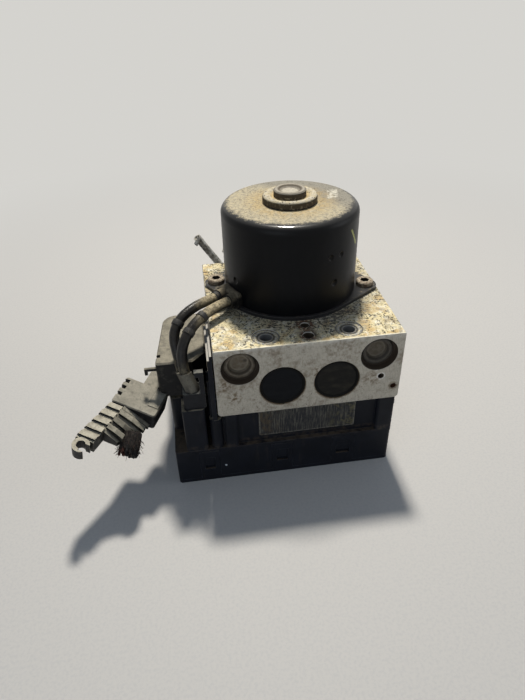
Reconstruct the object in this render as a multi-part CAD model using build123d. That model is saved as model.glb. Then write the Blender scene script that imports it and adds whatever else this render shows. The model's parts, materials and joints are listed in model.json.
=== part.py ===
from build123d import *
import math
import os

# Anti-lock brake module of a car: a machined hydraulic block between a pump motor on top and
# a moulded control unit underneath, with the cut-off harness plug and two brake pipes left in place.
# Millimetres. Origin at the centre of the control unit's flat base, +Z up, -Y the front face.

# Hydraulic block
block_width = 100.0
block_depth = 98.4
block_height = 42.5
block_lower_edge = 2.0
block_upper_edge = 0.6

# Control unit under the block
unit_height = 48.0
unit_side_bay = 26.0
unit_right_step = 1.0
unit_overhang = 0.2
unit_corner = 3.0
skirt_corner = 2.0
unit_wall = 2.5
unit_ledge = 1.2
deck_thickness = 3.0
cover_thickness = 2.5
skirt_top = 24.5
upper_setback = 2.8
left_deck_setback = 19.4
board_bottom = 9.0
board_thickness = 1.6

# Motor
motor_from_front = 60.7
can_radius = 37.7
can_wall = 1.8
can_shoulder = 4.5
can_rise = 49.7
top_boss_radius = 14.85
top_boss_rise = 4.3
boss_rim_width = 2.6
boss_rim_rise = 1.0
boss_rim_round = 1.6
boss_valley = 1.2
nose_radius = 8.8
nose_rise = 2.6
nose_edge = 0.6
nose_rim = 1.8
nose_dish_slope = 2.0
nose_dish = 1.2
flange_thickness = 2.0
flange_lip = 1.7
ear_beyond_can = 6.0
ear_radius = 6.8
ear_turn = -12.5
spigot_radius = 22.0
spigot_depth = 3.0
hub_radius = 13.0
hub_rise = 8.5
flange_shaft_gap = 1.5

# Bearings on the motor shaft: outer radius, bore radius, width
drive_bearing_size = (11.0, 4.0, 7.0)
top_bearing_size = (13.0, 5.0, 8.0)
pilot_radius = 3.0
bush_radius = 5.0
bush_length = 6.0
eccentric_radius = 6.0
eccentric_throw = 1.5
eccentric_length = 12.0
needle_ring = 3.0
needle_length = 10.0
eccentric_above_floor = 3.0
shield_setback = 0.5
shield_inset = 0.3

# Pump, one element to each side of the eccentric
pump_height = 21.5
chamber_radius = 13.0
pump_bore = 6.5
pump_cylinder_length = 18.0
pump_piston_radius = 4.0
pump_piston_length = 19.0
pump_tail_radius = 1.8
pump_tail_length = 4.0
pump_plug_radius = 8.5
pump_plug_length = 8.0
pump_socket_radius = 4.0
pump_socket_depth = 4.0

# Low-pressure accumulators behind the two round caps of the front face
accumulator_x = 14.7
accumulator_height = 16.3
accumulator_mouth = 12.6
accumulator_mouth_depth = 4.0
accumulator_bore = 10.8
accumulator_depth = 34.0
cap_recess = 0.9
cap_rim = 1.2
cap_rim_rise = 0.5
piston_length = 12.0
piston_crown = 2.0
piston_wall = 2.0

# Pulsation dampers in the stepped round recesses of the front face
damper_from_side = 13.2
damper_height = 30.3
damper_counterbore = 10.1
damper_counterbore_depth = 4.5
damper_radius = 8.5
damper_seat_depth = 5.0
damper_bore = 6.0
damper_depth = 18.0
damper_cup_radius = 6.1
damper_cup_depth = 2.6
damper_cup_slope = 1.1
damper_cup_edge = 0.4
damper_edge = 0.5
damper_rise = 1.2

# Solenoid valves, four to a row
valve_from_side = 14.0
valve_row_offset = 17.2
valve_radius = 6.5
valve_seat_depth = 14.0
dome_radius = 4.5
dome_length = 22.0
coil_radius = 8.0
coil_under_deck = 10.0
inlet_valve_length = 13.5
outlet_valve_length = 13.0

# Coil springs: mean radius, wire thickness, turns
accumulator_coil = (6.6, 1.8, 6)
pump_coil = (3.0, 1.1, 5)
brush_coil = (1.9, 0.6, 5)

# Threaded holes
mount_hole_x = 22.0
mount_hole_from_front = 9.2
mount_hole_radius = 3.3
mount_hole_depth = 12.0
spot_face_radius = 7.3
spot_face_depth = 0.4
# Bleed holes on top: distance from the front, radius, depth
bleed_holes = ((16.7, 2.5, 8.0), (7.0, 3.0, 6.0))
# Gauge holes in the front: distance from the right, height, depth
gauge_holes = ((11.0, 15.9, 4.0), (3.4, 8.2, 3.0))
gauge_radius = 1.7
brake_port_radius = 4.55
brake_port_height = 30.5
brake_port_depth = 14.0
master_port_radius = 5.5
master_port_height = 12.5
master_port_depth = 14.5
master_port_x = 24.0
screw_radius = 2.5
motor_screw_depth = 14.0
motor_screw_head = 5.0
motor_screw_head_height = 2.7
motor_screw_edge = 0.6
motor_socket_radius = 2.6
motor_socket_floor = 0.8
unit_screw_from_side = 8.5
unit_screw_from_front = 7.2
unit_screw_grip = 12.0
unit_screw_head = 3.8
unit_screw_head_height = 4.0
unit_screw_setback = 0.8
unit_socket_radius = 2.3
unit_socket_depth = 2.2
unit_boss_radius = 4.5

# Brake pipes
pipe_radius = 2.375
pipe_bore = 1.65
nut_across_flats = 11.0
nut_length = 8.5
nut_reach = 0.8
pipe_beyond_nut = 7.5
pipe_bend = 7.0
pipe_seat_gap = 1.5
# How far each pipe's cut end lies from its port, in X and Z
long_pipe_lean = (-15.5, 24.0)
short_pipe_lean = (-22.5, 14.0)

# Clearances; cutters run 1 mm past the faces that they open
press_gap = 0.05
running_gap = 0.05
slip_gap = 0.1
fit_gap = 0.2
loose_gap = 0.3
end_gap = 0.5

block_bottom = unit_height
block_top = block_bottom + block_height
block_front = -block_depth / 2
block_back = block_depth / 2
unit_left = -block_width / 2 - unit_side_bay
unit_right = block_width / 2 - unit_right_step
unit_front = block_front - unit_overhang
unit_back = block_back - unit_overhang
unit_plan = (unit_left, unit_right, unit_front, unit_back)
left_deck_front = unit_front + left_deck_setback
motor_y = block_front + motor_from_front
flange_radius = can_radius + flange_lip
ear_reach = can_radius + ear_beyond_can
coil_top = unit_height - coil_under_deck
flange_top = block_top + flange_thickness
can_roof = flange_top + can_rise
bearing_top = can_roof + top_boss_rise - can_wall
hub_top = block_top + hub_rise
pump_z = block_bottom + pump_height
chamber_floor = pump_z - eccentric_length / 2 - eccentric_above_floor
pilot_floor = chamber_floor - bush_length
board_top = board_bottom + board_thickness
deck_bottom = unit_height - deck_thickness
damper_x = block_width / 2 - damper_from_side
unit_screw_x = block_width / 2 - unit_screw_from_side
unit_screw_y = block_depth / 2 - unit_screw_from_front
valve_pitch = (block_width - 2 * valve_from_side) / 3
valve_rows = (motor_y - valve_row_offset, motor_y + valve_row_offset)
valve_columns = [valve_pitch * (i - 1.5) for i in range(4)]
motor_place = Pos(0, motor_y, 0)

LEFT = Rot(0, -90, 0)
RIGHT = Rot(0, 90, 0)
FRONT = Rot(90, 0, 0)
BACK = Rot(-90, 0, 0)


def slab(x0, x1, y0, y1, z0, z1, corner=0.0):
    # Upright block on a rectangular plan, with rounded corners where a radius is given
    plan = RectangleRounded(x1 - x0, y1 - y0, corner) if corner else Rectangle(x1 - x0, y1 - y0)
    return extrude(Pos((x0 + x1) / 2, (y0 + y1) / 2, z0) * plan, z1 - z0)


def rod(radius, z0, z1, x=0.0, y=0.0):
    return Pos(x, y, (z0 + z1) / 2) * Cylinder(radius, z1 - z0)


def ring(outer, inner, z0, z1):
    return rod(outer, z0, z1) - rod(inner, z0 - 1, z1 + 1)


def drill(radius, depth, start=0.0):
    # Cutter that enters from local +Z and stops at -depth
    return rod(radius, -depth, -start if start else 1.0)


def turned(*points):
    # Solid of revolution from half its section, as (radius, height) pairs
    return revolve(Plane.XZ * make_face(Polyline(*points, close=True)), Axis.Z)


def coil_spring(length, mean_radius, wire, turns, steps=8):
    rise = (length - wire) / (turns * steps)
    points = []
    for i in range(turns * steps + 1):
        angle = 2 * math.pi * i / steps
        points.append((mean_radius * math.cos(angle), mean_radius * math.sin(angle), wire / 2 + rise * i))
    path = Polyline(*points)
    section = Plane(origin=path @ 0, z_dir=path % 0) * RegularPolygon(wire / 2, 4)
    return sweep(section, path=path, transition=Transition.RIGHT)


def around(angle, radius):
    return radius * math.cos(math.radians(angle)), radius * math.sin(math.radians(angle))


def front_at(x, z, depth=0.0):
    return Pos(x, block_front + depth, z) * FRONT


def back_at(x, z):
    return Pos(x, block_back, z) * BACK


def save(node, shape):
    export_step(shape, "parts/" + node + ".step")


# Hydraulic block

accumulator_z = block_bottom + accumulator_height
damper_z = block_bottom + damper_height
brake_port_z = block_bottom + brake_port_height
master_port_z = block_bottom + master_port_height
accumulator_crown = -accumulator_depth + end_gap
ear_spots = [around(turn, ear_reach) for turn in (ear_turn, ear_turn + 180)]
ear_places = [Pos(x, motor_y + y, 0) for x, y in ear_spots]
unit_screw_places = [Pos(side * unit_screw_x, end * unit_screw_y, 0) for side in (-1, 1) for end in (-1, 1)]


def motor_bores():
    bores = rod(spigot_radius + press_gap, block_top - spigot_depth, block_top + 1)
    bores += rod(chamber_radius, chamber_floor, block_top)
    bores += rod(bush_radius + press_gap, pilot_floor, chamber_floor + 1)
    screw_bore = rod(screw_radius, block_top - motor_screw_depth, block_top + 1)
    return [motor_place * bores] + [place * screw_bore for place in ear_places]


def pump_bores():
    length = block_width / 2
    bores = []
    for side in (LEFT, RIGHT):
        bore = rod(pump_bore + press_gap, chamber_radius / 2, length + 1)
        bore += rod(pump_plug_radius + press_gap, length - pump_plug_length, length + 1)
        bores.append(Pos(0, motor_y, pump_z) * side * bore)
    return bores


def front_bores():
    bores = []
    for side in (-1, 1):
        bore = drill(accumulator_mouth, accumulator_mouth_depth)
        bore += drill(accumulator_bore, accumulator_depth)
        bores.append(front_at(side * accumulator_x, accumulator_z) * bore)
        seat_floor = damper_counterbore_depth + damper_seat_depth
        bore = drill(damper_counterbore, damper_counterbore_depth)
        bore += drill(damper_radius + press_gap, seat_floor)
        bore += drill(damper_bore, seat_floor + damper_depth)
        bores.append(front_at(side * damper_x, damper_z) * bore)
    for from_right, height, depth in gauge_holes:
        place = front_at(block_width / 2 - from_right, block_bottom + height)
        bores.append(place * drill(gauge_radius, depth))
    return bores


def top_bores():
    bores = []
    for side in (-1, 1):
        bore = drill(mount_hole_radius, mount_hole_depth) + drill(spot_face_radius, spot_face_depth)
        bores.append(Pos(side * mount_hole_x, block_front + mount_hole_from_front, block_top) * bore)
    for from_front, radius, depth in bleed_holes:
        bores.append(Pos(0, block_front + from_front, block_top) * drill(radius, depth))
    return bores


def back_bores():
    bores = [back_at(x, brake_port_z) * drill(brake_port_radius, brake_port_depth) for x in valve_columns]
    for side in (-1, 1):
        place = back_at(side * master_port_x, master_port_z)
        bores.append(place * drill(master_port_radius, master_port_depth))
    return bores


def under_bores():
    valve_bore = rod(valve_radius, block_bottom - 1, block_bottom + valve_seat_depth + end_gap)
    screw_bore = rod(screw_radius, block_bottom - 1, block_bottom + unit_screw_grip + end_gap)
    bores = [Pos(x, y, 0) * valve_bore for y in valve_rows for x in valve_columns]
    return bores + [place * screw_bore for place in unit_screw_places]


def valve_block():
    half = block_width / 2
    body = slab(-half, half, block_front, block_back, block_bottom, block_top)
    lengthways = body.edges().filter_by(Axis.Y).sort_by(Axis.Z)
    body = fillet(lengthways[:2], block_lower_edge)
    lengthways = body.edges().filter_by(Axis.Y).filter_by(GeomType.LINE)
    body = fillet(lengthways.filter_by_position(Axis.Z, block_top - 0.01, block_top + 0.01), block_upper_edge)
    return body - (motor_bores() + pump_bores() + front_bores() + top_bores() + back_bores() + under_bores())


# Pieces in the block

def accumulator_cap():
    radius = accumulator_mouth - press_gap
    back = -accumulator_mouth_depth
    rim = -cap_recess + cap_rim_rise
    face_radius = radius - cap_rim - cap_rim_rise
    return turned((0, back), (radius, back), (radius, rim), (radius - cap_rim, rim),
                  (face_radius, -cap_recess), (0, -cap_recess))


def accumulator_piston():
    radius = accumulator_bore - running_gap
    inner = radius - piston_wall
    skirt = ring(radius, inner, accumulator_crown, accumulator_crown + piston_length)
    return skirt + rod(inner, accumulator_crown, accumulator_crown + piston_crown)


def accumulator_spring():
    floor = accumulator_crown + piston_crown
    return Pos(0, 0, floor) * coil_spring(-accumulator_mouth_depth - floor, *accumulator_coil)


def damper_plug():
    radius = damper_radius - press_gap
    top = -damper_counterbore_depth + damper_rise
    floor = -damper_counterbore_depth - damper_seat_depth
    cup = damper_cup_radius
    cup_floor = top - damper_cup_depth
    return turned((0, floor), (radius, floor), (radius, top - damper_edge), (radius - damper_edge, top),
                  (cup + damper_cup_edge, top), (cup, top - damper_cup_edge),
                  (cup - damper_cup_slope, cup_floor), (0, cup_floor))


eccentric_sweep = eccentric_radius + needle_ring + eccentric_throw
piston_tip = eccentric_sweep + loose_gap
plug_face = block_width / 2 - pump_plug_length


def pump_plug():
    length = block_width / 2
    body = rod(pump_plug_radius, plug_face, length)
    return body - rod(pump_socket_radius, length - pump_socket_depth, length + 1)


def pump_cylinder():
    return ring(pump_bore, pump_piston_radius + running_gap, plug_face - pump_cylinder_length, plug_face)


def pump_piston():
    shoulder = piston_tip + pump_piston_length - pump_tail_length
    body = rod(pump_piston_radius, piston_tip, shoulder)
    return body + rod(pump_tail_radius, shoulder, shoulder + pump_tail_length)


def pump_spring():
    start = piston_tip + pump_piston_length - pump_tail_length
    return Pos(0, 0, start) * coil_spring(plug_face - start, *pump_coil)


def valve(top_length):
    # Cartridge pressed up into the block, with the sealed armature dome hanging below
    body = rod(valve_radius - press_gap, block_bottom, block_bottom + top_length)
    return body + rod(dome_radius, block_bottom - dome_length, block_bottom)


def valve_coil():
    return ring(coil_radius, dome_radius + slip_gap, board_top, coil_top)


def row_of(shape, y):
    return Compound([Pos(x, y, 0) * shape for x in valve_columns])


# Pump motor

def motor_nose(foot, top):
    # Turned cap with a shallow dish in its end
    flat = nose_radius - nose_edge
    dish = flat - nose_rim
    dish_floor = top - nose_dish
    return turned((0, foot), (nose_radius, foot), (nose_radius, top - nose_edge), (flat, top), (dish, top),
                  (dish - nose_dish_slope, dish_floor), (0, dish_floor))


def motor_boss():
    # Raised boss on the can's roof: a rounded rim, a valley inside it and the nose in the middle
    top = can_roof + top_boss_rise
    valley = top - boss_rim_rise
    boss = turned((0, can_roof - 2), (top_boss_radius, can_roof - 2), (top_boss_radius, top),
                  (top_boss_radius - boss_rim_width, top), (nose_radius + boss_valley, valley), (0, valley))
    rims = boss.edges().filter_by_position(Axis.Z, top - 0.01, top + 0.01).sort_by(SortBy.RADIUS)
    boss = fillet(rims[-1], boss_rim_round)
    return boss + motor_nose(valley - 0.5, top + nose_rise)


def grommet_tongue(gap, start):
    # Tongue of the grommet through the can's wall; with no gap, the slot that takes it
    across = tongue_width / 2 - gap
    up = tongue_height / 2 - gap
    return lead_frame * slab(-can_wall - grommet_depth, start, -across, across, -up, up)


def pump_motor_can():
    outer = rod(can_radius, flange_top, can_roof)
    outer = fillet(outer.edges().filter_by(GeomType.CIRCLE).sort_by(Axis.Z)[-1], can_shoulder)
    inner = rod(can_radius - can_wall, flange_top - 1, can_roof - can_wall)
    inner = chamfer(inner.edges().filter_by(GeomType.CIRCLE).sort_by(Axis.Z)[-1], can_shoulder - can_wall)
    hollow = inner + rod(top_bearing_size[0] + press_gap, can_roof - can_wall - 1, bearing_top)
    body = (outer + motor_boss()) - hollow
    for angle, height, radius in crimp_marks:
        x, y = around(angle, can_radius + radius - crimp_depth)
        body -= Pos(x, y, flange_top + height) * Sphere(radius)
    return motor_place * body - grommet_tongue(0.0, 0.0)


# Staking dimples round the can: angle, height over the flange, ball radius
crimp_marks = ((-66.1, 30.7, 2.6), (-55.4, 30.8, 2.6), (-61.5, 15.6, 3.4), (-151.9, 14.0, 3.4))
crimp_depth = 0.7
tongue_width = 11.0
tongue_height = 8.0
grommet_depth = 8.0

# The two motor leads leave the can side by side through one grommet
lead_radius = 2.75
lead_exit_angle = -155.46
lead_exit_turn = 127.15
lead_spacing = 8.28
grommet_reach = 4.185
lead_rise = 4.0
lead_exit = around(lead_exit_angle, can_radius + grommet_reach)
lead_start = motor_place.position + Vector(*lead_exit, flange_top + lead_rise)
lead_across = Vector(*around(lead_exit_turn, 1.0), 0)
front_lead_route = (lead_start - lead_across * (lead_spacing / 2), (-45.0, -17.2, 98.0), (-53.6, -25.0, 97.0),
                    (-60.2, -31.4, 93.8), (-64.6, -37.4, 89.0), (-65.9, -41.58, 82.97), (-65.0, -44.2, 76.0))
rear_lead_route = (lead_start + lead_across * (lead_spacing / 2), (-50.6, -10.6, 98.0), (-59.8, -17.4, 97.2),
                   (-66.2, -22.8, 94.0), (-69.4, -28.6, 88.6), (-67.7, -35.38, 80.42), (-66.8, -38.0, 73.45))
lead_frame = Location(Plane(origin=lead_start, x_dir=lead_across.cross(Vector(0, 0, -1)), z_dir=(0, 0, 1)))


def motor_flange():
    # Round plate whose rim runs straight out to the two screw ears
    rims = [Circle(flange_radius)] + [Pos(*spot) * Circle(ear_radius) for spot in ear_spots]
    plan = make_hull([edge for rim in rims for edge in rim.edges()])
    body = extrude(Pos(0, 0, block_top) * plan, flange_thickness)
    body += rod(spigot_radius, block_top - spigot_depth, block_top)
    body += rod(hub_radius, flange_top - 1, hub_top)
    body -= rod(drive_bearing_size[0] + press_gap, block_top, hub_top + 1)
    body -= rod(drive_bearing_size[1] + flange_shaft_gap, block_top - spigot_depth - 1, block_top + 1)
    body = motor_place * body
    return body - [place * rod(screw_radius + fit_gap, block_top - 1, flange_top + 1) for place in ear_places]


def motor_screw():
    under = flange_top
    head = rod(motor_screw_head, under, under + motor_screw_head_height)
    head = chamfer(head.edges().filter_by(GeomType.CIRCLE).sort_by(Axis.Z)[-1], motor_screw_edge)
    socket = Pos(0, 0, under + motor_socket_floor) * RegularPolygon(motor_socket_radius, 6)
    head -= extrude(socket, motor_screw_head_height)
    return head + rod(screw_radius - press_gap, block_top - motor_screw_depth + 1, under)


def ball_bearing(size):
    # Shielded bearing: two races with a shield set back between them
    outer, bore, width = size
    body = ring(outer, bore + running_gap, 0, width)
    race = (outer - bore) * shield_inset
    for z in (0, width):
        body -= ring(outer - race, bore + race, z - shield_setback, z + shield_setback)
    return body


magnet_thickness = 7.0
magnet_arc = 140.0
magnet_height = 26.0
core_height = 16.0
air_gap = 1.0
core_slots = 12
slot_width = 3.0
slot_depth = 8.0
end_turn_height = 4.5
end_turn_radius = 25.0
commutator_radius = 10.0
commutator_height = 9.0
brush_plate_thickness = 2.0
# Brush: length, width, height
brush_size = (8.0, 6.0, 5.0)
brush_box_wall = 1.5
brush_spring_length = 9.0
brush_turns = (45, 225)
brush_lift = 1.0
core_above_hub = 15.0
commutator_gap = 0.8
winding_gap = 1.5

core_bottom = hub_top + core_above_hub
core_top = core_bottom + core_height
magnet_radius = can_radius - can_wall - press_gap
core_radius = magnet_radius - magnet_thickness - air_gap
commutator_bottom = hub_top + commutator_gap
brush_floor = hub_top + brush_plate_thickness
shaft_radius = drive_bearing_size[1]
shaft_top_radius = top_bearing_size[1]


def magnets():
    band = ring(magnet_radius, magnet_radius - magnet_thickness, 0, magnet_height)
    # The wedge reaches well past the band
    reach = 2 * magnet_radius
    x, y = around(90 - magnet_arc / 2, reach)
    wedge = make_face(Polyline((0, 0), (x, y), (0, 2 * reach), (-x, y), close=True))
    one = band & extrude(wedge, magnet_height)
    bottom = core_bottom - (magnet_height - core_height) / 2
    return Compound([Pos(0, motor_y, bottom) * Rot(0, 0, turn) * one for turn in (0, 180)])


def armature_core():
    plan = Circle(core_radius) - Circle(shaft_radius + press_gap)
    inner = core_radius - slot_depth
    slot = Pos(inner + slot_depth, 0) * Rectangle(2 * slot_depth, slot_width)
    plan -= [Rot(0, 0, i * 360 / core_slots) * slot for i in range(core_slots)]
    return motor_place * extrude(Pos(0, 0, core_bottom) * plan, core_height)


def armature_winding():
    inner = commutator_radius + winding_gap
    body = ring(end_turn_radius, inner, core_bottom - end_turn_height, core_bottom)
    body += ring(end_turn_radius, inner, core_top, core_top + end_turn_height)
    floor = core_radius - slot_depth + slip_gap
    half_bar = slot_width / 2 - slip_gap
    bar = slab(floor, end_turn_radius, -half_bar, half_bar, core_bottom, core_top)
    body += [Rot(0, 0, i * 360 / core_slots) * bar for i in range(core_slots)]
    return motor_place * body


def commutator():
    return motor_place * ring(commutator_radius, shaft_radius + press_gap, commutator_bottom,
                              commutator_bottom + commutator_height)


def motor_shaft():
    eccentric_top = pump_z + eccentric_length / 2
    eccentric_bottom = pump_z - eccentric_length / 2
    step = core_top + end_turn_height
    body = rod(pilot_radius, pilot_floor + loose_gap, eccentric_bottom)
    body += rod(eccentric_radius, eccentric_bottom, eccentric_top, eccentric_throw)
    body += rod(shaft_radius, eccentric_top, step)
    body += rod(shaft_top_radius, step, bearing_top - loose_gap)
    return motor_place * body


def eccentric_bearing():
    inner = eccentric_radius + press_gap
    body = ring(eccentric_radius + needle_ring, inner, pump_z - needle_length / 2, pump_z + needle_length / 2)
    return motor_place * Pos(eccentric_throw, 0, 0) * body


def pilot_bush():
    return motor_place * ring(bush_radius, pilot_radius + running_gap, pilot_floor, pilot_floor + bush_length)


brush_reach = commutator_radius + fit_gap
brush_box_start = brush_reach + 1.8
brush_end = brush_reach + brush_size[0] + brush_spring_length
brush_axis_z = brush_floor + brush_lift + brush_size[2] / 2


def brush_holder():
    plate = ring(can_radius - can_wall - loose_gap, commutator_radius + commutator_gap, hub_top, brush_floor)
    half_width = brush_size[1] / 2 + slip_gap
    outside = half_width + brush_box_wall
    top = brush_floor + brush_lift + brush_size[2] + slip_gap
    floor = brush_floor + brush_lift - slip_gap
    end = brush_end + brush_box_wall
    box = slab(brush_box_start, end, -outside, outside, brush_floor, top + brush_box_wall)
    box -= slab(brush_box_start - 1, brush_end, -half_width, half_width, floor, top)
    return motor_place * (plate + [Rot(0, 0, turn) * box for turn in brush_turns])


def brush_pair(shape):
    return Compound([Pos(0, motor_y, brush_axis_z) * Rot(0, 0, turn) * shape for turn in brush_turns])


def carbon_brush():
    width, height = brush_size[1] / 2, brush_size[2] / 2
    body = slab(brush_reach, brush_reach + brush_size[0], -width, width, -height, height)
    return body - rod(brush_reach, -height - 1, height + 1)


def brush_spring():
    start = brush_reach + brush_size[0]
    return Pos(start, 0, 0) * RIGHT * coil_spring(brush_spring_length, *brush_coil)


# Brake pipes

nut_start = block_back + nut_reach
nut_end = nut_start + nut_length
pipe_turn_y = nut_end + pipe_beyond_nut
long_pipe_x = valve_columns[0]
short_pipe_x = valve_columns[1]
long_pipe_cut = 25.0
short_pipe_cut = -15.0


def tube_nut(x):
    across = nut_across_flats / math.sqrt(3)
    hexagon = extrude(RegularPolygon(across, 6), nut_length)
    stem = rod(brake_port_radius - press_gap, -nut_reach - brake_port_depth + pipe_seat_gap, 0)
    body = hexagon + stem - rod(pipe_radius + press_gap, -nut_reach - brake_port_depth, nut_length + 1)
    return Pos(x, nut_start, brake_port_z) * BACK * body


def brake_pipe(x, lean, cut_turn):
    start = block_back - brake_port_depth + pipe_seat_gap
    path = FilletPolyline((x, start, brake_port_z), (x, pipe_turn_y, brake_port_z),
                          (x + lean[0], pipe_turn_y, brake_port_z + lean[1]), radius=pipe_bend)
    section = Plane(origin=path @ 0, z_dir=path % 0) * (Circle(pipe_radius) - Circle(pipe_bore))
    body = sweep(section, path=path)
    # The cut end is torn off at a slant
    slant = Location(Plane(origin=path @ 1, z_dir=path % 1)) * Rot(cut_turn, 0, 0)
    cutter = 8 * pipe_radius
    return body - slant * Pos(0, 0, cutter / 2) * Box(cutter, cutter, cutter)


# Control unit

fence_gap = 0.7
fence_thickness = 2.5
fence_front_step = 0.4
fence_length = 33.0
fence_below_top = 2.5
fence_lip = 1.2
fence_lip_rise = 2.5
fence_rib = 1.2
fence_rib_below_top = 18.0
fence_rib_places = (3.5, 12.0)
right_column_width = 10.0
left_column_width = 7.0
left_column_step = 3.0
column_depth = 6.0
column_corner = 1.5
pillar_radius = 3.5
pillar_step = 1.5
pillar_below_deck = 2.5
# Nub on the right column: how far it stands out, distance from the front, its side, distance from the top
side_bump = (0.8, 2.5, 3.0, 4.0)
# Snap tabs of the cover: centre along X, width
tab_places = ((-57.15, 11.1), (-15.15, 11.9), (20.75, 13.3))
tab_height = 20.0
tab_thickness = 1.3
tab_foot = 6.5
tab_head = 4.5
tab_side = 2.6
catch_rise = 3.0
window_beyond_valve = (5.5, 5.8)
window_corner = 4.0
cover_rim_gap = 0.15
cover_rim_wall = 1.5
cover_rim_rise = 3.0
seal_inset = 1.0
seal_width = 2.0
seal_depth = 1.5
tower_step = 3.8
tower_width = 12.2
tower_rise = 29.5
tower_wall = 1.5
tower_floor = 2.5
tower_corner = 1.5
socket_step = 4.8
socket_width = 17.0
socket_setback = 4.0
socket_length = 39.0
socket_rise = 16.0
socket_wall = 2.0
socket_floor_rise = 2.0
pin_size = 0.8
pin_rows = 10
pin_column_pitch = 5.0
pin_pitch = 3.2
pin_below_rim = 4.0
blade_pitch = 4.6
blade_size = (0.8, 5.0)
blade_below_rim = 4.0
label_length = 55.0
label_centre = -0.5
label_foot = 4.0
label_head = 1.7
label_thickness = 0.5
label_corner = 1.2

window_x = valve_columns[-1] + window_beyond_valve[0]
window_front = valve_rows[0] - window_beyond_valve[1]
window_back = valve_rows[1] + window_beyond_valve[1]
window_plan = (-window_x, window_x, window_front, window_back)
tab_slot = tab_thickness + slip_gap
fence_rib_top = block_top - fence_below_top - fence_rib_below_top
upper_front = unit_front + upper_setback
fence_inner = -block_width / 2 - fence_gap
fence_outer = fence_inner - fence_thickness
fence_front = unit_front + fence_front_step
fence_top = block_top - fence_below_top
right_column = (unit_right - right_column_width, unit_right)
left_column = (-block_width / 2 + left_column_step, -block_width / 2 + left_column_step + left_column_width)
pillar_place = (-block_width / 2 - pillar_step, unit_front + pillar_radius)
tab_top = cover_thickness + tab_height
tab_window = (cover_thickness + tab_foot, tab_top - tab_head)
tower_right = fence_outer - tower_step
tower_front = unit_front + unit_overhang
tower = (tower_right - tower_width, tower_right, tower_front, tower_front + tower_width)
tower_top = skirt_top + tower_rise
socket_front = left_deck_front + socket_setback
socket_back = socket_front + socket_length
socket_right = fence_outer - socket_step
socket = (socket_right - socket_width, socket_right, socket_front, socket_back)
socket_top = unit_height + socket_rise
socket_floor = unit_height + socket_floor_rise
pin_top = socket_top - pin_below_rim
pin_centre = ((socket[0] + socket[1]) / 2, (socket[2] + socket[3]) / 2)
pin_columns = (pin_centre[0] - pin_column_pitch / 2, pin_centre[0] + pin_column_pitch / 2)
pin_first = pin_centre[1] - (pin_rows - 1) * pin_pitch / 2
blade_y = (tower[2] + tower[3]) / 2
blade_x = ((tower[0] + tower[1] - blade_pitch) / 2, (tower[0] + tower[1] + blade_pitch) / 2)
blade_top = tower_top - blade_below_rim
label_span = (label_centre - label_length / 2, label_centre + label_length / 2)
label_height = (skirt_top + label_foot, unit_height - label_head)


def grown(box, by):
    return (box[0] - by, box[1] + by, box[2] - by, box[3] + by)


def pin_places():
    return [Pos(x, pin_first + i * pin_pitch, 0) for x in pin_columns for i in range(pin_rows)]


def tab_spans():
    return [(centre - width / 2, centre + width / 2) for centre, width in tab_places]


def tab_boxes(spread, thickness, bottom, top):
    boxes = []
    for left, right in tab_spans():
        left, right = left - spread, right + spread
        boxes.append(slab(left, right, unit_front - 1, unit_front + thickness, bottom, top))
        boxes.append(slab(left, right, unit_back - thickness, unit_back + 1, bottom, top))
    return boxes


def side_fence():
    # Upright wall beside the block, with a thin lip along its top and ribs on its outer face
    back = fence_front + fence_length
    foot = skirt_top - 1
    body = slab(fence_outer, fence_inner, fence_front, back, foot, fence_top - fence_lip_rise)
    body += slab(fence_inner - fence_lip, fence_inner, fence_front, back, foot, fence_top)
    for step in fence_rib_places:
        front = fence_front + step - fence_rib / 2
        body += slab(fence_outer - fence_rib, fence_outer, front, front + fence_rib, foot, fence_rib_top)
    return body


def side_nub():
    out, from_front, side, from_top = side_bump
    front = unit_front + from_front
    top = unit_height - from_top
    return slab(unit_right - 1, unit_right + out, front, front + side, top - side, top)


def unit_outside():
    middle = (unit_left + unit_right) / 2
    foot = skirt_top - 2
    body = slab(*unit_plan, cover_thickness, skirt_top, skirt_corner)
    body += slab(fence_outer, unit_right, upper_front, unit_back, foot, unit_height, unit_corner)
    body += slab(unit_left, middle, left_deck_front, unit_back, foot, unit_height, unit_corner)
    for left, right in (right_column, left_column):
        body += slab(left, right, unit_front, unit_front + column_depth, foot, unit_height, column_corner)
    body += rod(pillar_radius, skirt_top - 1, unit_height - pillar_below_deck, *pillar_place)
    body += side_nub()
    body += side_fence()
    body += slab(*tower, skirt_top - 1, tower_top, tower_corner)
    body += slab(*socket, unit_height - 1, socket_top, unit_corner)
    return body


def unit_inside():
    inner = unit_wall + unit_ledge
    left, right, back = unit_left + inner, unit_right - inner, unit_back - inner
    shelf = skirt_top - deck_thickness
    body = slab(*grown(unit_plan, -unit_wall), 0, board_top)
    body += slab(left, right, unit_front + inner, back, board_top - 1, shelf)
    body += slab(fence_outer + inner, right, upper_front + unit_wall, back, shelf - 1, deck_bottom)
    body += slab(left, 0, left_deck_front + unit_wall, back, shelf - 1, deck_bottom)
    return body


def tab_catches():
    # Catches that the cover's tabs snap over, rooted in the wall behind each tab's slot
    bottom, top = tab_window
    root = tab_slot + fit_gap
    walls = ((unit_front + loose_gap, unit_front + root), (unit_back - root, unit_back - loose_gap))
    catches = []
    for left, right in tab_spans():
        left, right = left + tab_side + loose_gap, right - tab_side - loose_gap
        for front, back in walls:
            catches.append(slab(left, right, front, back, bottom + catch_rise, top - fit_gap))
    return catches


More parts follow.
